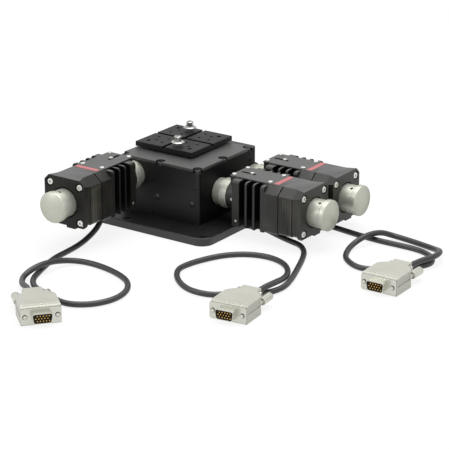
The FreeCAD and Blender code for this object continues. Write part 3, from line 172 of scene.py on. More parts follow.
class Finishes(Enum):
    """Every finish on the stage, named for its real material; some also carry painted light and shade."""

    # Bead-blasted and black anodised aluminium: near black, with a soft sheen that turns
    # top faces grey where they mirror the white room at a shallow angle.
    BLACK_ANODISE = Finish("black_anodised_aluminium", "#0d0d0e", "#151516", 0.44, specular=0.34,
                           grain_mm=0.5, relief=0.15)
    # Motor and drive blocks: the same coat over cast metal, a little warmer, and lighter as painted light.
    PAINTED_LIGHT_BLOCK = Finish("black_anodised_casting", "#1a1917", "#25241f", 0.46, specular=0.5,
                           grain_mm=0.6, relief=0.2)
    # The block of the drive at the front left: the same coat, darker and duller as painted shade.
    PAINTED_SHADE_BLOCK = Finish("dull_black_anodised_casting", "#151412", "#1f1e1a", 0.48, specular=0.24,
                        grain_mm=0.6, relief=0.2)
    # Drawn sides of motor and seat: fine upright draw lines, widened to 1.2 mm so that they show.
    DRAWN_X = Finish("drawn_black_side_across_x", "#1a1916", "#34332d", 0.45, specular=0.5, metallic=0.15,
                     grain_mm=1.2, stretch=(1.0, 0.03, 0.03), relief=0.45, relief_mm=0.1, contrast=0.18)
    # The left drive's copy, across Y, is darker and duller as painted shade.
    PAINTED_SHADE_DRAWN_Y = Finish("drawn_black_side_across_y", "#0f0e0c", "#272620", 0.47, specular=0.26, metallic=0.1,
                     grain_mm=1.2, stretch=(0.03, 1.0, 0.03), relief=0.45, relief_mm=0.1, contrast=0.18)
    # Painted shade: near-black anodised aluminium laid on the stage body's side towards the drives,
    # the gaps between the fins and the caps' recesses, where shade falls.
    PAINTED_SHADE_BLACK = Finish("deep_black_anodised_aluminium", "#060607", "#0c0c0d", 0.5, specular=0.12,
                        grain_mm=0.5, relief=0.15)
    # Ground and black anodised lids: smoother, so the room shows more in them.
    LID_ANODISE = Finish("black_anodised_lid", "#1c1c1b", "#262624", 0.36, specular=0.8,
                         grain_mm=0.6, relief=0.1)
    # The stage's cover: bead-blasted before the same coat, so that its sheen is broad and even.
    COVER_ANODISE = Finish("bead_blasted_black_cover", "#222221", "#2c2c2a", 0.48, specular=0.95,
                           grain_mm=0.5, relief=0.15)
    # Milled rim of the base plate, a shade greyer than its top.
    RIM_ANODISE = Finish("milled_black_rim", "#1f1f1e", "#292927", 0.42, specular=0.6,
                         grain_mm=0.8, stretch=(0.3, 0.3, 1.0), relief=0.15)
    # Hard anodised platform, also on the base plate's top: a dark and dull black.
    PLATFORM_ANODISE = Finish("hard_anodised_platform", "#0b0b0c", "#121213", 0.5, specular=0.22,
                              grain_mm=0.5, relief=0.15)
    # Black oxide on the screws of the cover and the access panel.
    BLACK_OXIDE = Finish("black_oxide_steel", "#2c2c2e", "#3a3a3c", 0.34, metallic=0.6, grain_mm=0.3,
                         relief=0.1)
    # Lamination edges across X, blackened and oiled: upright brown-grey streaks.
    # Real sheets are 0.5 mm thick, drawn as streaks of 1.3 to 1.4 mm so that they show.
    LAMINATION_X = Finish("laminated_steel_across_x", "#1d1c19", "#42413a", 0.44, metallic=0.3,
                          grain_mm=1.3, stretch=(1.0, 0.03, 0.03), relief=0.6, relief_mm=0.15, contrast=0.17)
    LAMINATION_Y = Finish("laminated_steel_across_y", "#151411", "#48473d", 0.44, metallic=0.3,
                          grain_mm=1.4, stretch=(0.03, 1.0, 0.03), relief=0.7, relief_mm=0.18, contrast=0.15)
    # Clear anodised turned aluminium, satin and slightly warm; its grey edge tint is painted shade in what
    # its rims mirror.
    CLEAR_ANODISE = Finish("clear_anodised_turned_aluminium", "#b9baae", "#c6c7bb", 0.43, metallic=0.65,
                           grain_mm=0.35, relief=0.08, edge="#6f7064")
    # Bright zinc on steel screws.
    ZINC = Finish("zinc_plated_steel", "#dededa", "#ebebe7", 0.32, metallic=0.9, grain_mm=0.3, relief=0.1)
    # Clamp bolts and their washers: plain zinc, greyer than the small screws.
    CLAMP_ZINC = Finish("grey_zinc_plated_steel", "#9c9e9a", "#b4b6b2", 0.27, metallic=1.0, grain_mm=0.5,
                        relief=0.15)
    # Satin nickel on a die-cast hood: pale, warm, with a faint orange peel.
    NICKEL = Finish("satin_nickel_die_casting", "#abaaa0", "#bab9af", 0.43, metallic=0.5,
                    grain_mm=0.9, relief=0.08, relief_mm=0.03)
    # Tinned steel of the plug's flange, shroud, thumbscrews and cable clamp.
    TIN = Finish("tinned_steel", "#c4c4ba", "#d3d3ca", 0.26, metallic=0.95, grain_mm=1.2, relief=0.05)
    # Gold plated contacts.
    GOLD = Finish("gold_plated_brass", "#d9ae5c", "#e3bd72", 0.22, metallic=1.0, grain_mm=0.3, relief=0.02)
    # Glass-filled black moulding of the insert and the cable outlet.
    BLACK_MOULDING = Finish("black_moulded_nylon", "#0e0e0f", "#151516", 0.5, grain_mm=0.5, relief=0.2)
    # Soft PVC sheath: dark grey with a broad dull highlight.
    SHEATH = Finish("soft_pvc_sheath", "#1b1b1c", "#252526", 0.42, specular=0.6, grain_mm=0.8, relief=0.12)
    # Ground and oiled steel of spindles, slides and bearings.
    GROUND_STEEL = Finish("ground_steel", "#8f8f8c", "#a2a29e", 0.3, metallic=1.0, grain_mm=0.3, relief=0.05)
    # Plain red vinyl band, printed once and laminated.
    RED_VINYL = Finish("red_vinyl_band", "#a8444a", "#b4555a", 0.38, specular=0.4, grain_mm=0.8, relief=0.05,
                       coat=0.3)


class FinishShelf:
    """Builds each finish the first time it is asked for."""

    def __init__(self) -> None:
        """Start with nothing built."""
        self.made: Dict[Finishes, bpy.types.Material] = {}

    def get(self, which: Finishes) -> bpy.types.Material:
        """Return the material of a finish, built once."""
        if which not in self.made:
            self.made[which] = which.value.build()
        return self.made[which]

    def dress(self, piece: bpy.types.Object, which: Finishes) -> None:
        """Give a piece one material all over."""
        piece.data.materials.clear()
        piece.data.materials.append(self.get(which))


# Bench tools


def select_only(piece: bpy.types.Object) -> None:
    """Deselect everything, then select one piece and make it active."""
    bpy.ops.object.select_all(action="DESELECT")
    piece.select_set(True)
    bpy.context.view_layer.objects.active = piece


def edit(piece: bpy.types.Object, everything: bool = True) -> None:
    """Enter edit mode with all of a piece selected, or none of it."""
    select_only(piece)
    bpy.ops.object.mode_set(mode="EDIT")
    bpy.ops.mesh.select_all(action="SELECT" if everything else "DESELECT")


def leave_edit() -> None:
    """Return to object mode."""
    bpy.ops.object.mode_set(mode="OBJECT")


def settle(piece: bpy.types.Object) -> None:
    """Put a piece's place into its mesh, and face its surface outwards."""
    select_only(piece)
    bpy.ops.object.transform_apply(location=True, rotation=True, scale=True)
    edit(piece)
    bpy.ops.mesh.remove_doubles(threshold=WELD)
    bpy.ops.mesh.normals_make_consistent(inside=False)
    leave_edit()


def apply_bevel(piece: bpy.types.Object, width_mm: float, segments: int = 2, angle: float = 35.0) -> None:
    """Round a piece's hard edges and shade it smooth between them.

    Args:
        piece: the mesh object.
        width_mm: bevel width in millimetres.
        segments: number of segments in the rounding.
        angle: edges that turn more than this many degrees are rounded.
    """
    select_only(piece)
    bevel = piece.modifiers.new("edge rounding", "BEVEL")
    bevel.width = width_mm * MM
    bevel.segments = segments
    bevel.limit_method = "ANGLE"
    bevel.angle_limit = math.radians(angle)
    bevel.use_clamp_overlap = True
    bpy.ops.object.modifier_apply(modifier=bevel.name)
    bpy.ops.object.shade_smooth_by_angle(angle=math.radians(SMOOTH_DEGREES))
    weigh = piece.modifiers.new("flat faces", "WEIGHTED_NORMAL")
    weigh.keep_sharp = True
    bpy.ops.object.modifier_apply(modifier=weigh.name)


def carve(piece: bpy.types.Object, cutter: bpy.types.Object) -> None:
    """Cut one closed piece out of another, and remove the cutter."""
    select_only(piece)
    cut = piece.modifiers.new("cut", "BOOLEAN")
    cut.operation = "DIFFERENCE"
    cut.solver = "EXACT"
    cut.object = cutter
    bpy.ops.object.modifier_apply(modifier=cut.name)
    bpy.data.objects.remove(cutter, do_unlink=True)


def join_in(piece: bpy.types.Object, other: bpy.types.Object) -> None:
    """Unite another closed piece with this one."""
    select_only(piece)
    unite = piece.modifiers.new("unite", "BOOLEAN")
    unite.operation = "UNION"
    unite.solver = "EXACT"
    unite.object = other
    bpy.ops.object.modifier_apply(modifier=unite.name)
    bpy.data.objects.remove(other, do_unlink=True)


def block(name: str, low: Point, high: Point) -> bpy.types.Object:
    """Add a block between two corners.

    Args:
        name: the object's name.
        low: lowest corner in millimetres.
        high: highest corner in millimetres.

    Returns:
        The block, with its place in its mesh.
    """
    bpy.ops.object.select_all(action="DESELECT")
    middle = [(a + b) / 2 * MM for a, b in zip(low, high)]
    size = [(b - a) * MM for a, b in zip(low, high)]
    bpy.ops.mesh.primitive_cube_add(size=1, location=middle, scale=size)
    piece = bpy.context.object
    piece.name = name
    settle(piece)
    return piece


def bar(name: str, radius: float, start: float, end: float, centre: Tuple[float, float] = (0.0, 0.0),
        axis: str = "X", sides: int = 48) -> bpy.types.Object:
    """Add a round bar along an axis.

    Args:
        name: the object's name.
        radius: radius in millimetres.
        start: where it starts along the axis.
        end: where it ends along the axis.
        centre: its other two coordinates.
        axis: X, Y or Z.
        sides: number of sides.

    Returns:
        The bar, with its place in its mesh.
    """
    middle, depth = (start + end) / 2, abs(end - start)
    turn = {"X": (0, math.pi / 2, 0), "Y": (math.pi / 2, 0, 0), "Z": (0, 0, 0)}[axis]
    spot = {"X": (middle, centre[0], centre[1]), "Y": (centre[0], middle, centre[1]),
            "Z": (centre[0], centre[1], middle)}[axis]
    bpy.ops.object.select_all(action="DESELECT")
    bpy.ops.mesh.primitive_cylinder_add(vertices=sides, radius=radius * MM, depth=depth * MM,
                                        location=[v * MM for v in spot], rotation=turn)
    piece = bpy.context.object
    piece.name = name
    settle(piece)
    return piece


def turn_on_lathe(name: str, outline: Sequence[Tuple[float, float]], closed: bool = False,
                  sides: int = 96) -> bpy.types.Object:
    """Turn a piece about the X axis, ring by ring.

    Args:
        name: the object's name.
        outline: stations along X and radii, in millimetres.
        closed: whether the outline runs back to its start, as on a ring with a bore.
        sides: number of sides of each ring.

    Returns:
        The turned piece.
    """
    x, radius = outline[0]
    bpy.ops.object.select_all(action="DESELECT")
    bpy.ops.mesh.primitive_circle_add(vertices=sides, radius=radius * MM,
                                      fill_type="NOTHING" if closed else "NGON",
                                      location=(x * MM, 0, 0), rotation=(0, math.pi / 2, 0))
    piece = bpy.context.object
    piece.name = name
    select_only(piece)
    bpy.ops.object.transform_apply(location=True, rotation=True, scale=True)
    edit(piece)
    steps = list(outline[1:]) + ([outline[0]] if closed else [])
    for next_x, next_radius in steps:
        bpy.ops.mesh.extrude_region_move(TRANSFORM_OT_translate={"value": ((next_x - x) * MM, 0, 0)})
        ratio = next_radius / radius
        bpy.ops.transform.resize(value=(1, ratio, ratio), center_override=(next_x * MM, 0, 0))
        x, radius = next_x, next_radius
    leave_edit()
    settle(piece)
    return piece


def loft_sections(name: str, sections: Sequence[Section]) -> bpy.types.Object:
    """Draw a boxy piece along Y through rectangles that change in size.

    Args:
        name: the object's name.
        sections: for each, the place along Y, half width, bottom and top, in millimetres.

    Returns:
        The lofted piece.
    """
    y, half, low, high = sections[0]
    bpy.ops.object.select_all(action="DESELECT")
    bpy.ops.mesh.primitive_plane_add(size=1, location=(0, y * MM, (low + high) / 2 * MM),
                                     rotation=(math.pi / 2, 0, 0))
    piece = bpy.context.object
    piece.name = name
    piece.scale = (2 * half * MM, (high - low) * MM, 1)
    select_only(piece)
    bpy.ops.object.transform_apply(location=True, rotation=True, scale=True)
    edit(piece)
    for next_y, next_half, next_low, next_high in sections[1:]:
        middle, next_middle = (low + high) / 2, (next_low + next_high) / 2
        move = (0, (next_y - y) * MM, (next_middle - middle) * MM)
        bpy.ops.mesh.extrude_region_move(TRANSFORM_OT_translate={"value": move})
        ratio = (next_half / half, 1, (next_high - next_low) / (high - low))
        bpy.ops.transform.resize(value=ratio, center_override=(0, next_y * MM, next_middle * MM))
        y, half, low, high = next_y, next_half, next_low, next_high
    leave_edit()
    settle(piece)
    return piece


def copy_to(piece: bpy.types.Object, name: str, place: Matrix) -> bpy.types.Object:
    """Copy a piece with its own mesh and carry the copy's mesh to a place.

    Args:
        piece: the piece to copy.
        name: the copy's name.
        place: where the copy goes, as a matrix in metres.

    Returns:
        The copy, whose object stays at the origin.
    """
    copy = bpy.data.objects.new(name, piece.data.copy())
    copy.data.name = name
    copy.data.transform(place)
    bpy.context.scene.collection.objects.link(copy)
    return copy


def mount_piece(piece: bpy.types.Object, body: str, slot: str, *nodes: str) -> None:
    """Let a piece ride on a body and stand for CAD nodes, which it hides."""
    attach(piece, body)
    if nodes:
        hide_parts(*nodes)
    LOG.info("%s rides on %s, %d faces", piece.name, body, len(piece.data.polygons))


def soften_node(node: str, body: str, slot: str, width_mm: float, segments: int = 2,
                cuts: Sequence[Tuple[Vector, Vector]] = ()) -> bpy.types.Object:
    """Copy a CAD node, merge its triangles and round its edges.

    Args:
        node: the CAD node that the copy stands for.
        body: the body it rides on.
        slot: not used.
        width_mm: edge rounding in millimetres.
        segments: segments in the rounding.
        cuts: planes that part its faces where the finish changes, as points and directions.

    Returns:
        The softened copy.
    """
    copy = copy_to(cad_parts[node], node + "_edges", Matrix.Identity(4))
    edit(copy)
    bpy.ops.mesh.remove_doubles(threshold=CAD_WELD)
    bpy.ops.mesh.dissolve_limited(angle_limit=math.radians(FLAT_DEGREES))
    for point, direction in cuts:
        bpy.ops.mesh.select_all(action="SELECT")
        bpy.ops.mesh.bisect(plane_co=point, plane_no=direction)
    leave_edit()
    apply_bevel(copy, width_mm, segments, 40.0)
    mount_piece(copy, body, slot, node)
    return copy


def repaint(piece: bpy.types.Object, material: bpy.types.Material,
            wanted: Callable[[Vector, Vector], bool], axes: Matrix) -> None:
    """Give some of a piece's faces another material.

    Args:
        piece: the mesh object.
        material: the material to add.
        wanted: takes a face's middle in millimetres and its direction, in the given axes.
        axes: matrix from those axes to the stage's, in metres.
    """
    back = axes.inverted()
    turn = back.to_3x3()
    piece.data.materials.append(material)
    for face in piece.data.polygons:
        if wanted((back @ face.center) / MM, turn @ face.normal):
            face.material_index = len(piece.data.materials) - 1


# Where things are


@dataclass(frozen=True)
class DrivePlace:
    """A drive's place: its own X points away from the body, its axis lies on that X."""

    name: str
    letter: str
    origin_mm: Point
    turn_degrees: float
    reach_mm: float
    gap_mm: float

    def matrix(self) -> Matrix:
        """Return the matrix from the drive's own axes to the stage's, in metres."""
        return Matrix.Translation(Vector(self.origin_mm) * MM) @ Matrix.Rotation(
            math.radians(self.turn_degrees), 4, "Z")


@dataclass(frozen=True)
class PlugPlace:
    """A connector's place on the bench: the middle of its flange and its turn."""

    name: str
    x_mm: float
    y_mm: float
    turn_radians: float

    def matrix(self) -> Matrix:
        """Return the matrix from the connector's own axes to the stage's, in metres."""
        return Matrix.Translation(Vector((self.x_mm, self.y_mm, 0)) * MM) @ Matrix.Rotation(
            self.turn_radians, 4, "Z")


DRIVES: Tuple[DrivePlace, ...] = (
    DrivePlace("x_drive", "x", (51.7, -19.9, 30.1), 0.0, 95.8, 15.1),
    DrivePlace("y_drive", "y", (-16.0, -50.6, 41.4), -90.0, 93.6, 12.9),
    DrivePlace("z_drive", "z", (51.7, 30.0, 28.9), 0.0, 95.8, 15.1),
)
PLUGS: Tuple[PlugPlace, ...] = (
    PlugPlace("x_drive", 181.1, -193.7, 0.119),
    PlugPlace("y_drive", 70.3, -278.2, 0.874),
    PlugPlace("z_drive", 244.5, -79.4, 0.023),
)


# Camera and room


@dataclass
class Studio:
    """Camera at the photograph's angle, white floor and soft light."""

    camera_mm: Point = (946.05, -1292.04, 563.2)
    target_mm: Point = (59.63, -23.82, 2.18)
    lens_mm: float = 154.61
    overhead_watts: float = 17.0
    front_watts: float = 6.5
    room_strength: float = 0.55
    floor_metres: float = 14.0
    floor_glow: float = 0.85

    def camera(self) -> None:
        """Make the camera and set it as the scene's."""
        data = bpy.data.cameras.new("photo_camera")
        data.lens = self.lens_mm
        data.sensor_width = 36.0
        data.clip_start, data.clip_end = 0.05, 50.0
        camera = bpy.data.objects.new("photo_camera", data)
        camera.location = Vector(self.camera_mm) * MM
        look = (Vector(self.target_mm) - Vector(self.camera_mm)).normalized()
        camera.rotation_mode = "QUATERNION"
        camera.rotation_quaternion = look.to_track_quat("-Z", "Y")
        bpy.context.scene.collection.objects.link(camera)
        bpy.context.scene.camera = camera

    def floor(self) -> None:
        """Lay a white floor that keeps a light shadow."""
        bpy.ops.object.select_all(action="DESELECT")
        bpy.ops.mesh.primitive_plane_add(size=self.floor_metres, location=(0, 0, -0.0001))
        plane = bpy.context.object
        plane.name = "studio_floor"
        material = bpy.data.materials.new("white_sweep_paper")
        material.use_nodes = True
        tree = material.node_tree
        tree.nodes.clear()
        paper = add_node(tree, "ShaderNodeBsdfDiffuse", inputs={"Color": (0.9, 0.9, 0.9, 1.0)})
        white = add_node(tree, "ShaderNodeEmission", inputs={"Color": (1, 1, 1, 1), "Strength": 1.0})
        seen = self.seen_ray(tree)
        share = add_node(tree, "ShaderNodeMath", {"operation": "MULTIPLY"}, {0: seen, 1: self.floor_glow})
        mix = add_node(tree, "ShaderNodeMixShader", inputs={
            0: share.outputs[0], 1: paper.outputs[0], 2: white.outputs[0]})
        out = add_node(tree, "ShaderNodeOutputMaterial")
        tree.links.new(mix.outputs[0], out.inputs[0])
        plane.data.materials.append(material)

    @staticmethod
    def seen_ray(tree: Any) -> Any:
        """Return a socket that is one for rays that show the background.

        Args:
            tree: the node tree to add the nodes to.

        Returns:
            An output socket, one for camera, glossy and transmission rays.
        """
        path = add_node(tree, "ShaderNodeLightPath")
        first = add_node(tree, "ShaderNodeMath", {"operation": "MAXIMUM"}, {
            0: path.outputs["Is Camera Ray"], 1: path.outputs["Is Glossy Ray"]})
        both = add_node(tree, "ShaderNodeMath", {"operation": "MAXIMUM"}, {
            0: first.outputs[0], 1: path.outputs["Is Transmission Ray"]})
        return both.outputs[0]

    def room(self) -> None:
        """Fill the room with even light and a white background."""
        world = bpy.data.worlds.new("white_room")
        bpy.context.scene.world = world
        world.use_nodes = True
        tree = world.node_tree
        tree.nodes.clear()
        fill = add_node(tree, "ShaderNodeBackground", inputs={
            "Color": (1, 1, 1, 1), "Strength": self.room_strength})
        white = add_node(tree, "ShaderNodeBackground", inputs={"Color": (1, 1, 1, 1), "Strength": 1.0})
        mix = add_node(tree, "ShaderNodeMixShader", inputs={
            0: self.seen_ray(tree), 1: fill.outputs[0], 2: white.outputs[0]})
        out = add_node(tree, "ShaderNodeOutputWorld")
        tree.links.new(mix.outputs[0], out.inputs[0])

    def lamp(self, name: str, place: Point, target: Point, size: float, watts: float) -> None:
        """Hang one soft square lamp.

        Args:
            name: the lamp's name.
            place: where it hangs, in metres.
            target: what it points at, in metres.
            size: its side in metres.
            watts: its power.
        """
        data = bpy.data.lights.new(name, "AREA")
        data.shape = "SQUARE"
        data.size = size
        data.energy = watts
        lamp = bpy.data.objects.new(name, data)
        lamp.location = place
        lamp.rotation_mode = "QUATERNION"
        lamp.rotation_quaternion = (Vector(target) - Vector(place)).to_track_quat("-Z", "Y")
        bpy.context.scene.collection.objects.link(lamp)

    def build(self) -> None:
        """Set up camera, floor, room light and lamps."""
        self.camera()
        self.floor()
        self.room()
        self.lamp("overhead_softbox", (0.1, 0.1, 1.3), (0.08, -0.05, 0), 1.2, self.overhead_watts)
        self.lamp("front_left_softbox", (-0.9, -1.3, 0.9), (0.05, -0.08, 0.03), 0.8, self.front_watts)
        scene = bpy.context.scene
        scene.view_settings.view_transform = "Standard"
        LOG.info("camera, floor and lamps are in place")


# Cables


@dataclass
class CableRun:
    """One drive's cable: a smooth curve along its route on the bench."""

    drive: str
    route_mm: Sequence[Point]
    length_mm: float
    radius_mm: float = 2.4

    def build(self, shelf: FinishShelf, pieces: Sequence[bpy.types.Object]) -> None:
        """Args:
            shelf: where the sheath's finish comes from.
            pieces: not used.
        """
        data = bpy.data.curves.new(self.drive + "_cable_sheath", "CURVE")
        data.dimensions = "3D"
        data.resolution_u = 10
        data.bevel_depth = self.radius_mm * MM
        data.bevel_resolution = 6
        data.use_fill_caps = True
        spline = data.splines.new("NURBS")
        spline.points.add(len(self.route_mm) - 1)
        for point, (x, y, z) in zip(spline.points, self.route_mm):
            point.co = (x * MM, y * MM, z * MM, 1.0)
        spline.order_u = 3
        spline.use_endpoint_u = True
        curve = bpy.data.objects.new(self.drive + "_cable_sheath", data)
        bpy.context.scene.collection.objects.link(curve)
        shelf.dress(curve, Finishes.SHEATH)
        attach(curve, "stage")
        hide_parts(self.drive + "_cable")
        LOG.info("%s is drawn", curve.name)


CABLES: Tuple[CableRun, ...] = (
    CableRun("y_drive", (
        (-16, -85.4, 17.7), (-16, -96, 16.4), (-12.8, -104.9, 9.5), (-12.5, -120, 3.6),
        (-9.7, -136.5, 2.6), (-8.1, -153.7, 2.6), (-7.3, -171.6, 2.6), (2, -200, 2.6), (9, -217, 2.6),
        (22, -229, 2.6), (38, -233, 2.6), (55.1, -239.9, 2.6), (68, -239, 2.6), (81, -229, 2.6),
        (88, -212, 2.6), (85.7, -193.8, 2.6), (75.6, -178.5, 2.6), (61.1, -169.5, 2.6),
        (42, -163.5, 2.6), (21.7, -161.5, 2.6), (6.5, -167.4, 3.2), (3.9, -190.2, 8.2),
        (2.7, -207.3, 8.2), (0.7, -218.3, 4), (11.2, -232.2, 4.6), (23.5, -239.1, 6.9),
        (38.9, -251.9, 7.25)), 455.0),
    CableRun("x_drive", (
        (88.7, -19.9, 6.4), (99, -20, 5.4), (111, -21, 2.8), (128.1, -26.6, 2.6), (141.1, -29.9, 2.6),
        (152.3, -41.7, 2.6), (160.1, -57.3, 2.6), (169, -79.2, 2.6), (176.5, -98.6, 2.6),
        (181.2, -116.5, 2.6), (178, -132, 2.6), (169, -141, 2.6), (156, -145.5, 2.6),
        (148.7, -159.1, 2.6), (136.1, -164.1, 2.6), (119.3, -162.4, 2.6), (101, -149.5, 2.6),
        (89.9, -133.3, 2.6), (89.7, -119.5, 2.6), (94.3, -102.1, 2.6), (102.7, -84.3, 2.6),
        (116.5, -72, 2.6), (133.9, -67.3, 2.6), (151.6, -72, 2.6), (165, -84.7, 2.6),
        (172.9, -102.5, 4), (177.5, -123.7, 8.3), (176.4, -140, 8.5), (176.2, -153, 7.25)), 458.0),
    CableRun("z_drive", (
        (88.7, 30, 5.2), (99.5, 29.7, 4.4), (113, 28, 2.7), (130, 24.5, 2.6), (149, 21.5, 2.6),
        (169, 18.3, 2.6), (188.5, 16.4, 2.6), (208.1, 16.9, 2.6), (224.2, 16.7, 2.6),
        (237.1, 12.8, 2.6), (247.5, 3.7, 2.6), (250.3, -9.6, 2.6), (239, -23, 2.6), (226, -32.8, 2.6),
        (217.7, -44.4, 2.6), (204, -46.6, 2.6), (187.2, -35.3, 2.6), (180.1, -21.4, 2.6),
        (176.1, -6.1, 3.3), (180.6, 6.8, 8.3), (186.1, 22, 8.3), (192.4, 32.7, 3.2), (206.6, 32, 2.6),
        (222.7, 28.8, 2.6), (237.7, 23.6, 3.4), (250.8, 10.8, 8.2), (252, -4.9, 8.4), (246, -19, 8.2),
        (243.7, -38.4, 7.25)), 433.0),
)


# Plugs


@dataclass
class Plug:
    """Connector hood in two die-cast halves, with its shroud, insert, pins and screws."""

    half_width: float = 15.5
    height: float = 14.5
    front: float = 1.6
    shoulder: float = 25.0
    neck_start: float = 34.0
    end: float = 41.0
    neck_half: float = 7.6
    jack_spacing: float = 12.5
    jack_radius: float = 1.6
    thumb_pocket: float = 3.6
    thumb_start: float = 31.7
    cable_hole: float = 2.6
    wall: float = 1.2
    roof: float = 1.6
    seam_depth: float = 0.45
    step_inset: float = 0.25
    room_half: float = 7.7
    room_rise: float = 3.6
    edge: float = 0.55

    def hood(self) -> bpy.types.Object:
        """Model the hood in its own axes.

        Returns:
            The hood, front flange at Y zero and cable leaving towards +Y.
        """
        w, h, n = self.half_width, self.height, self.neck_half
        hood = loft_sections("hood_pattern", [
            (self.front, w, 0.0, h - 0.9), (3.2, w, 0.0, h - 0.7), (3.9, w, 0.0, h - 0.1),
            (5.3, w, 0.0, h - 0.1), (5.7, w, 0.0, h - 0.55), (7.0, w, 0.0, h - 0.5),
            (7.5, w, 0.0, h), (self.shoulder, w, 0.0, h), (27.0, w - 1.0, 0.0, h),
            (29.0, w - 3.0, 0.0, h), (31.0, w - 5.2, 0.0, h), (33.0, n + 0.6, 0.0, h),
            (self.neck_start + 1, n, 0.0, h), (self.end - 0.4, n, 0.0, h), (self.end, n - 0.4, 0.4, h - 0.4)])
        middle = h / 2
        seam_front, seam_back = self.front + 1.2, self.shoulder - 1.5
        for side in Side:
            sign = side.value
            carve(hood, bar("thumb_pocket", self.thumb_pocket, self.thumb_start, self.end + 5,
                            (sign * self.jack_spacing, middle), "Y"))
            carve(hood, bar("jack_hole", self.jack_radius, -1, self.end, (sign * self.jack_spacing, middle),
                            "Y", 24))
            x = sorted((sign * (w - self.seam_depth), sign * (w + 1)))
            carve(hood, block("seam_cut", (x[0], seam_front, middle - 0.25),
                              (x[1], seam_back, middle + 0.35)))
            carve(hood, block("half_step", (x[0] + (self.step_inset if sign > 0 else 0), seam_front, middle),
                              (x[1] - (self.step_inset if sign < 0 else 0), seam_back, h - self.roof)))
        carve(hood, bar("cable_hole", self.cable_hole, self.end - 3, self.end + 1, (0.0, middle), "Y"))
        throat = block("throat", (-w + self.wall, 1.0, 1.4), (w - self.wall, self.front + 0.3, h - self.roof))
        carve(throat, block("insert_room", (-self.room_half, 0, middle - self.room_rise),
                            (self.room_half, 4, middle + self.room_rise)))
        for side in Side:
            carve(throat, bar("jack_room", self.jack_radius, -1, 4, (side.value * self.jack_spacing, middle),
                              "Y", 24))
        carve(hood, block("front_room", (-self.room_half, 0, middle - self.room_rise),
                          (self.room_half, self.front + 0.4, middle + self.room_rise)))
        join_in(hood, throat)
        apply_bevel(hood, self.edge, 3, 30.0)
        return hood

    def cable_clamp(self) -> bpy.types.Object:
        """Model the rolled cable clamp in the hood's neck.

        Returns:
            A ring with a grooved lip round the cable.
        """
        start = self.end - 2.2
        ring = turn_on_lathe("clamp_pattern", [
            (start, 2.45), (start, 3.9), (self.end - 0.9, 3.9), (self.end - 0.5, 4.4), (self.end, 4.4),
            (self.end, 3.6), (self.end, 2.45)], closed=True, sides=64)
        ring.data.transform(Matrix.Translation((0, 0, self.height / 2 * MM)) @ Matrix.Rotation(
            math.pi / 2, 4, "Z"))
        apply_bevel(ring, 0.15, 2, 40.0)
        return ring

    def build(self, shelf: FinishShelf) -> Dict[str, List[bpy.types.Object]]:
        """Make one hood and clamp, and copy them to the three plugs.

        Args:
            shelf: where the finishes come from.

        Returns:
            The pieces on each cable's end, by the drive's name.
        """
        patterns = [(self.hood(), "hood", Finishes.NICKEL), (self.cable_clamp(), "cable_clamp", Finishes.TIN)]
        on_cable: Dict[str, List[bpy.types.Object]] = {}
        for plug in PLUGS:
            pieces = []
            for pattern, word, finish in patterns:
                copy = copy_to(pattern, "%s_%s" % (plug.name, word), plug.matrix())
                shelf.dress(copy, finish)
                mount_piece(copy, "stage", "nickel_hood", "connector_hoods")
                pieces.append(copy)
            on_cable[plug.name] = pieces
        for pattern, _, _ in patterns:
            bpy.data.objects.remove(pattern, do_unlink=True)
        return on_cable


# Drives


@dataclass
class HandKnob:
    """Turned hand knob on the motor's rear shaft."""

    start: float = -1.1
    grip: float = 11.5
    end: float = 18.9
    bulge: float = 2.7
    dome_steps: int = 12
    rim_radius: float = 12.4
    thimble_radius: float = 12.0
    grip_radius: float = 13.2
    hole_station: float = 8.2
    hole_turn: float = 25.0
    hole_radius: float = 1.3

    def pattern(self) -> bpy.types.Object:
        """Model the knob from the rear cap's face.

        Returns:
            The knob, with the cap's face at X zero.
        """
        t, g = self.thimble_radius, self.grip_radius
        rim = self.end - self.bulge
        shares = [k / self.dome_steps for k in range(self.dome_steps, 0, -1)]
        dome = [(self.end - self.bulge * share ** 2, self.rim_radius * share) for share in shares]
        knob = turn_on_lathe("knob_pattern", [
            (self.start, 1.0), (self.start, t - 0.4), (self.start + 0.4, t), (self.grip - 0.6, t),
            (self.grip - 0.5, t - 0.6), (self.grip - 0.05, t - 0.6), (self.grip, g - 0.4),
            (self.grip + 0.4, g), (rim - 1.0, g), (rim - 0.66, g - 0.09), (rim - 0.36, g - 0.28),
            (rim - 0.14, g - 0.53), *dome, (self.end, 0.5)], sides=128)
        hole = bar("screw_hole", self.hole_radius, t - 4, t + 2, (self.hole_station, 0.0), "Z", 24)
        hole.data.transform(Matrix.Rotation(math.radians(self.hole_turn), 4, "X"))
        carve(knob, hole)
        apply_bevel(knob, 0.1, 2, 40.0)
        return knob


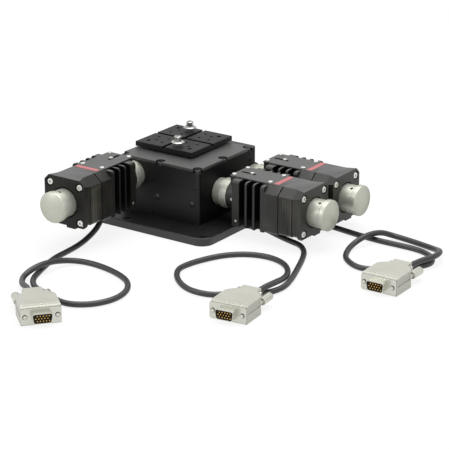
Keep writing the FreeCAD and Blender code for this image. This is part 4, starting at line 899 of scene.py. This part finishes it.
@dataclass
class LockRing:
    """Clamp collar and ring that hold a drive's nose in the body."""

    tail: float = -4.5
    tail_radius: float = 11.0
    bore: float = 8.05
    collar_radius: float = 11.6
    ring_radius: float = 12.8
    ring_width: float = 8.3
    clearance: float = 0.3
    grub_turns: Tuple[float, float] = (215.0, 325.0)
    grub_radius: float = 0.95

    def pattern(self, gap: float) -> bpy.types.Object:
        """Model the collar and ring for a drive that sits nearer or further out.

        Args:
            gap: from the body's face to the drive's nose, in millimetres.

        Returns:
            The lock ring from the body's face outwards.
        """
        c, r = self.collar_radius, self.ring_radius
        end = gap - self.clearance
        collar = end - self.ring_width
        ring = turn_on_lathe("lock_ring_pattern", [
            (self.tail, self.bore), (self.tail, self.tail_radius), (0.0, self.tail_radius), (0.0, c - 0.3),
            (0.3, c), (collar - 0.5, c), (collar - 0.4, c - 0.4), (collar, c - 0.4), (collar + 0.1, r - 0.5),
            (collar + 0.6, r), (end - 0.6, r), (end, r - 0.6), (end, self.bore)], closed=True, sides=128)
        for degrees in self.grub_turns:
            hole = bar("grub_hole", self.grub_radius, r - 2.5, r + 1, (collar / 2, 0.0), "Z", 20)
            hole.data.transform(Matrix.Rotation(math.radians(degrees), 4, "X"))
            carve(ring, hole)
        apply_bevel(ring, 0.1, 2, 40.0)
        return ring


@dataclass
class DriveLooks:
    """What is seen of the three drives: machined blocks, knobs, rings, screws and bands."""

    top: float = 21.5
    band_start: float = 28.0
    band_end: float = 32.6
    band_half: float = 11.5
    band_height: float = 0.12
    seat_plate: float = 36.5
    end_plate: float = 3.3
    fin_stations: Tuple[float, float] = (61.6, 39.8)
    fin_core: float = 16.0
    recess: float = 13.6
    face_skin: float = 0.3
    lid_depth: float = 3.0
    left_knob_turn: float = -35.0
    knob: HandKnob = field(default_factory=HandKnob)
    ring: LockRing = field(default_factory=LockRing)

    def band(self, place: DrivePlace, shelf: FinishShelf) -> None:
        """Lay the plain red band across the top of a drive.

        Args:
            place: the drive.
            shelf: where the finish comes from.
        """
        x0, x1 = place.reach_mm - self.band_end, place.reach_mm - self.band_start
        band = block("band_pattern", (x0, -self.band_half, self.top),
                     (x1, self.band_half, self.top + self.band_height))
        apply_bevel(band, 0.05, 2)
        copy = copy_to(band, place.name + "_red_band", place.matrix())
        shelf.dress(copy, Finishes.RED_VINYL)
        mount_piece(copy, "stage", "black_plastic")
        bpy.data.objects.remove(band, do_unlink=True)

    def machined(self, place: DrivePlace, shelf: FinishShelf) -> None:
        """Dress the drive's machined blocks.

        Args:
            place: the drive.
            shelf: where the finishes come from.
        """
        left = place.letter == "y"
        # The drive at the front left takes the painted shade copy of the block coat, the others the painted
        # light copy.
        block_finish = Finishes.PAINTED_SHADE_BLOCK if left else Finishes.PAINTED_LIGHT_BLOCK
        plan = (("front_housing", "black_anodised", block_finish, 0.25),
                ("top_plate", "black_anodised", Finishes.LID_ANODISE, 0.15),
                ("rear_cap", "black_anodised", block_finish, 0.3),
                ("motor_stack", "laminated_steel", Finishes.LAMINATION_Y if left else Finishes.LAMINATION_X,
                 0.15))
        axes = place.matrix()
        seat_end = place.reach_mm - self.seat_plate
        for word, slot, finish, width in plan:
            cast = finish is block_finish
            cuts = [(axes @ Vector((seat_end * MM, 0, 0)), axes.to_3x3() @ Vector((1, 0, 0)))] if cast else []
            piece = soften_node("%s_%s" % (place.name, word), "stage", slot, width, cuts=cuts)
            shelf.dress(piece, finish)
            if cast:
                repaint(piece, shelf.get(Finishes.LID_ANODISE),
                        lambda middle, normal: normal.z > FACING and middle.z > self.top - self.lid_depth,
                        axes)
                # The left drive's drawn sides take the darker copy, as painted shade.
                repaint(piece, shelf.get(Finishes.PAINTED_SHADE_DRAWN_Y if left else Finishes.DRAWN_X),
                        lambda middle, normal: abs(normal.y) > FACING and middle.x > seat_end
                        and middle.x < place.reach_mm - self.end_plate, axes)
            # Painted shade: the recess round the knob is laid in near-black.
            if word == "rear_cap":
                repaint(piece, shelf.get(Finishes.PAINTED_SHADE_BLACK),
                        lambda middle, normal: math.hypot(middle.y, middle.z) < self.recess
                        and middle.x < place.reach_mm - self.face_skin, axes)
            # Painted shade: the faces between the fins are laid in near-black.
            if word == "front_housing":
                low, high = (place.reach_mm - station for station in self.fin_stations)
                repaint(piece, shelf.get(Finishes.PAINTED_SHADE_BLACK),
                        lambda middle, normal: low < middle.x < high and normal.z < FACING
                        and (abs(normal.x) > FACING or abs(middle.y) < self.fin_core), axes)

    def turned(self, place: DrivePlace, knob: bpy.types.Object, shelf: FinishShelf) -> None:
        """Fit the knob and dress the shafts of one drive.

        Args:
            place: the drive.
            knob: the knob's pattern.
            shelf: where the finishes come from.
        """
        at_cap = place.matrix() @ Matrix.Translation((place.reach_mm * MM, 0, 0))
        stand = Matrix.Rotation(math.radians(self.left_knob_turn if place.letter == "y" else 0.0), 4, "X")
        copy = copy_to(knob, place.name + "_hand_knob", at_cap @ stand)
        shelf.dress(copy, Finishes.CLEAR_ANODISE)
        mount_piece(copy, place.letter + "_screw", "clear_anodised", place.name + "_knob")
        for word, finish in (("rotor_screw", Finishes.GROUND_STEEL), ("spindle", Finishes.GROUND_STEEL),
                             ("guide_pin", Finishes.ZINC)):
            shelf.dress(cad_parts["%s_%s" % (place.name, word)], finish)

    def build(self, shelf: FinishShelf) -> None:
        """Build and dress the three drives."""
        knob = self.knob.pattern()
        for place in DRIVES:
            self.machined(place, shelf)
            self.turned(place, knob, shelf)
            self.band(place, shelf)
            ring = self.ring.pattern(place.gap_mm)
            copy = copy_to(ring, place.name + "_lock_ring", place.matrix())
            shelf.dress(copy, Finishes.CLEAR_ANODISE)
            mount_piece(copy, "stage", "clear_anodised", "lock_rings")
            bpy.data.objects.remove(ring, do_unlink=True)
        bpy.data.objects.remove(knob, do_unlink=True)


@dataclass
class StageLooks:
    """Base plate, body, cover, platform and the small hardware of the stage."""

    rim_facing: float = 0.8

    def build(self, shelf: FinishShelf) -> None:
        """Soften and dress the stage's own nodes.

        Args:
            shelf: where the finishes come from.
        """
        plan = (("base_plate", "stage", "black_anodised", Finishes.BLACK_ANODISE, 0.4),
                ("stage_body", "stage", "black_anodised", Finishes.BLACK_ANODISE, 0.3),
                ("top_cover", "stage", "black_anodised", Finishes.COVER_ANODISE, 0.25),
                ("access_panel", "stage", "black_anodised", Finishes.BLACK_ANODISE, 0.25),
                ("moving_platform", "platform", "black_anodised", Finishes.PLATFORM_ANODISE, 0.2),
                ("clamp_washers", "platform", "zinc_steel", Finishes.CLAMP_ZINC, 0.2),
                ("clamp_bolts", "platform", "zinc_steel", Finishes.CLAMP_ZINC, 0.15))
        axes = Matrix.Identity(4)
        for node, body, slot, finish, width in plan:
            piece = soften_node(node, body, slot, width)
            shelf.dress(piece, finish)
            # Painted shade: the body's side towards the drives is laid in near-black.
            if node == "stage_body":
                repaint(piece, shelf.get(Finishes.PAINTED_SHADE_BLACK), lambda middle, normal: normal.x > FACING, axes)
            if node == "base_plate":
                repaint(piece, shelf.get(Finishes.RIM_ANODISE),
                        lambda middle, normal: abs(normal.z) < self.rim_facing, axes)
                repaint(piece, shelf.get(Finishes.PLATFORM_ANODISE),
                        lambda middle, normal: normal.z > FACING, axes)
        kept = {
            Finishes.ZINC: ("drive_screws", "hood_clamp_screws", "crank_pin"),
            Finishes.BLACK_OXIDE: ("stage_screws", "access_panel_screws"),
            Finishes.BLACK_MOULDING: ("cable_glands", "connector_inserts"),
            Finishes.TIN: ("connector_shells",),
            Finishes.GOLD: ("contact_pins",),
            Finishes.GROUND_STEEL: ("x_rails", "x_carriage", "y_rails", "y_carriage", "platform_post",
                                    "bell_crank", "front_bearings", "rear_bearings"),
        }
        for finish, nodes in kept.items():
            for node in nodes:
                shelf.dress(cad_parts[node], finish)
        for plug in PLUGS:
            for word in ("left", "right"):
                shelf.dress(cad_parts["%s_thumbscrew_%s" % (plug.name, word)], Finishes.TIN)
        LOG.info("stage hardware is dressed")


def main() -> None:
    """Build the scene: camera and room first, then plugs, cables, drives and stage."""
    logging.basicConfig(level=logging.INFO, format="%(message)s")
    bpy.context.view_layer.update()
    shelf = FinishShelf()
    Studio().build()
    on_cable = Plug().build(shelf)
    shared = [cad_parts[n] for n in ("connector_shells", "connector_inserts", "contact_pins",
                                          "hood_clamp_screws")]
    for run in CABLES:
        screws = [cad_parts["%s_thumbscrew_%s" % (run.drive, w)] for w in ("left", "right")]
        run.build(shelf, on_cable[run.drive] + screws + (shared if run is CABLES[0] else []))
    DriveLooks().build(shelf)
    StageLooks().build(shelf)


if __name__ == "__main__":
    main()
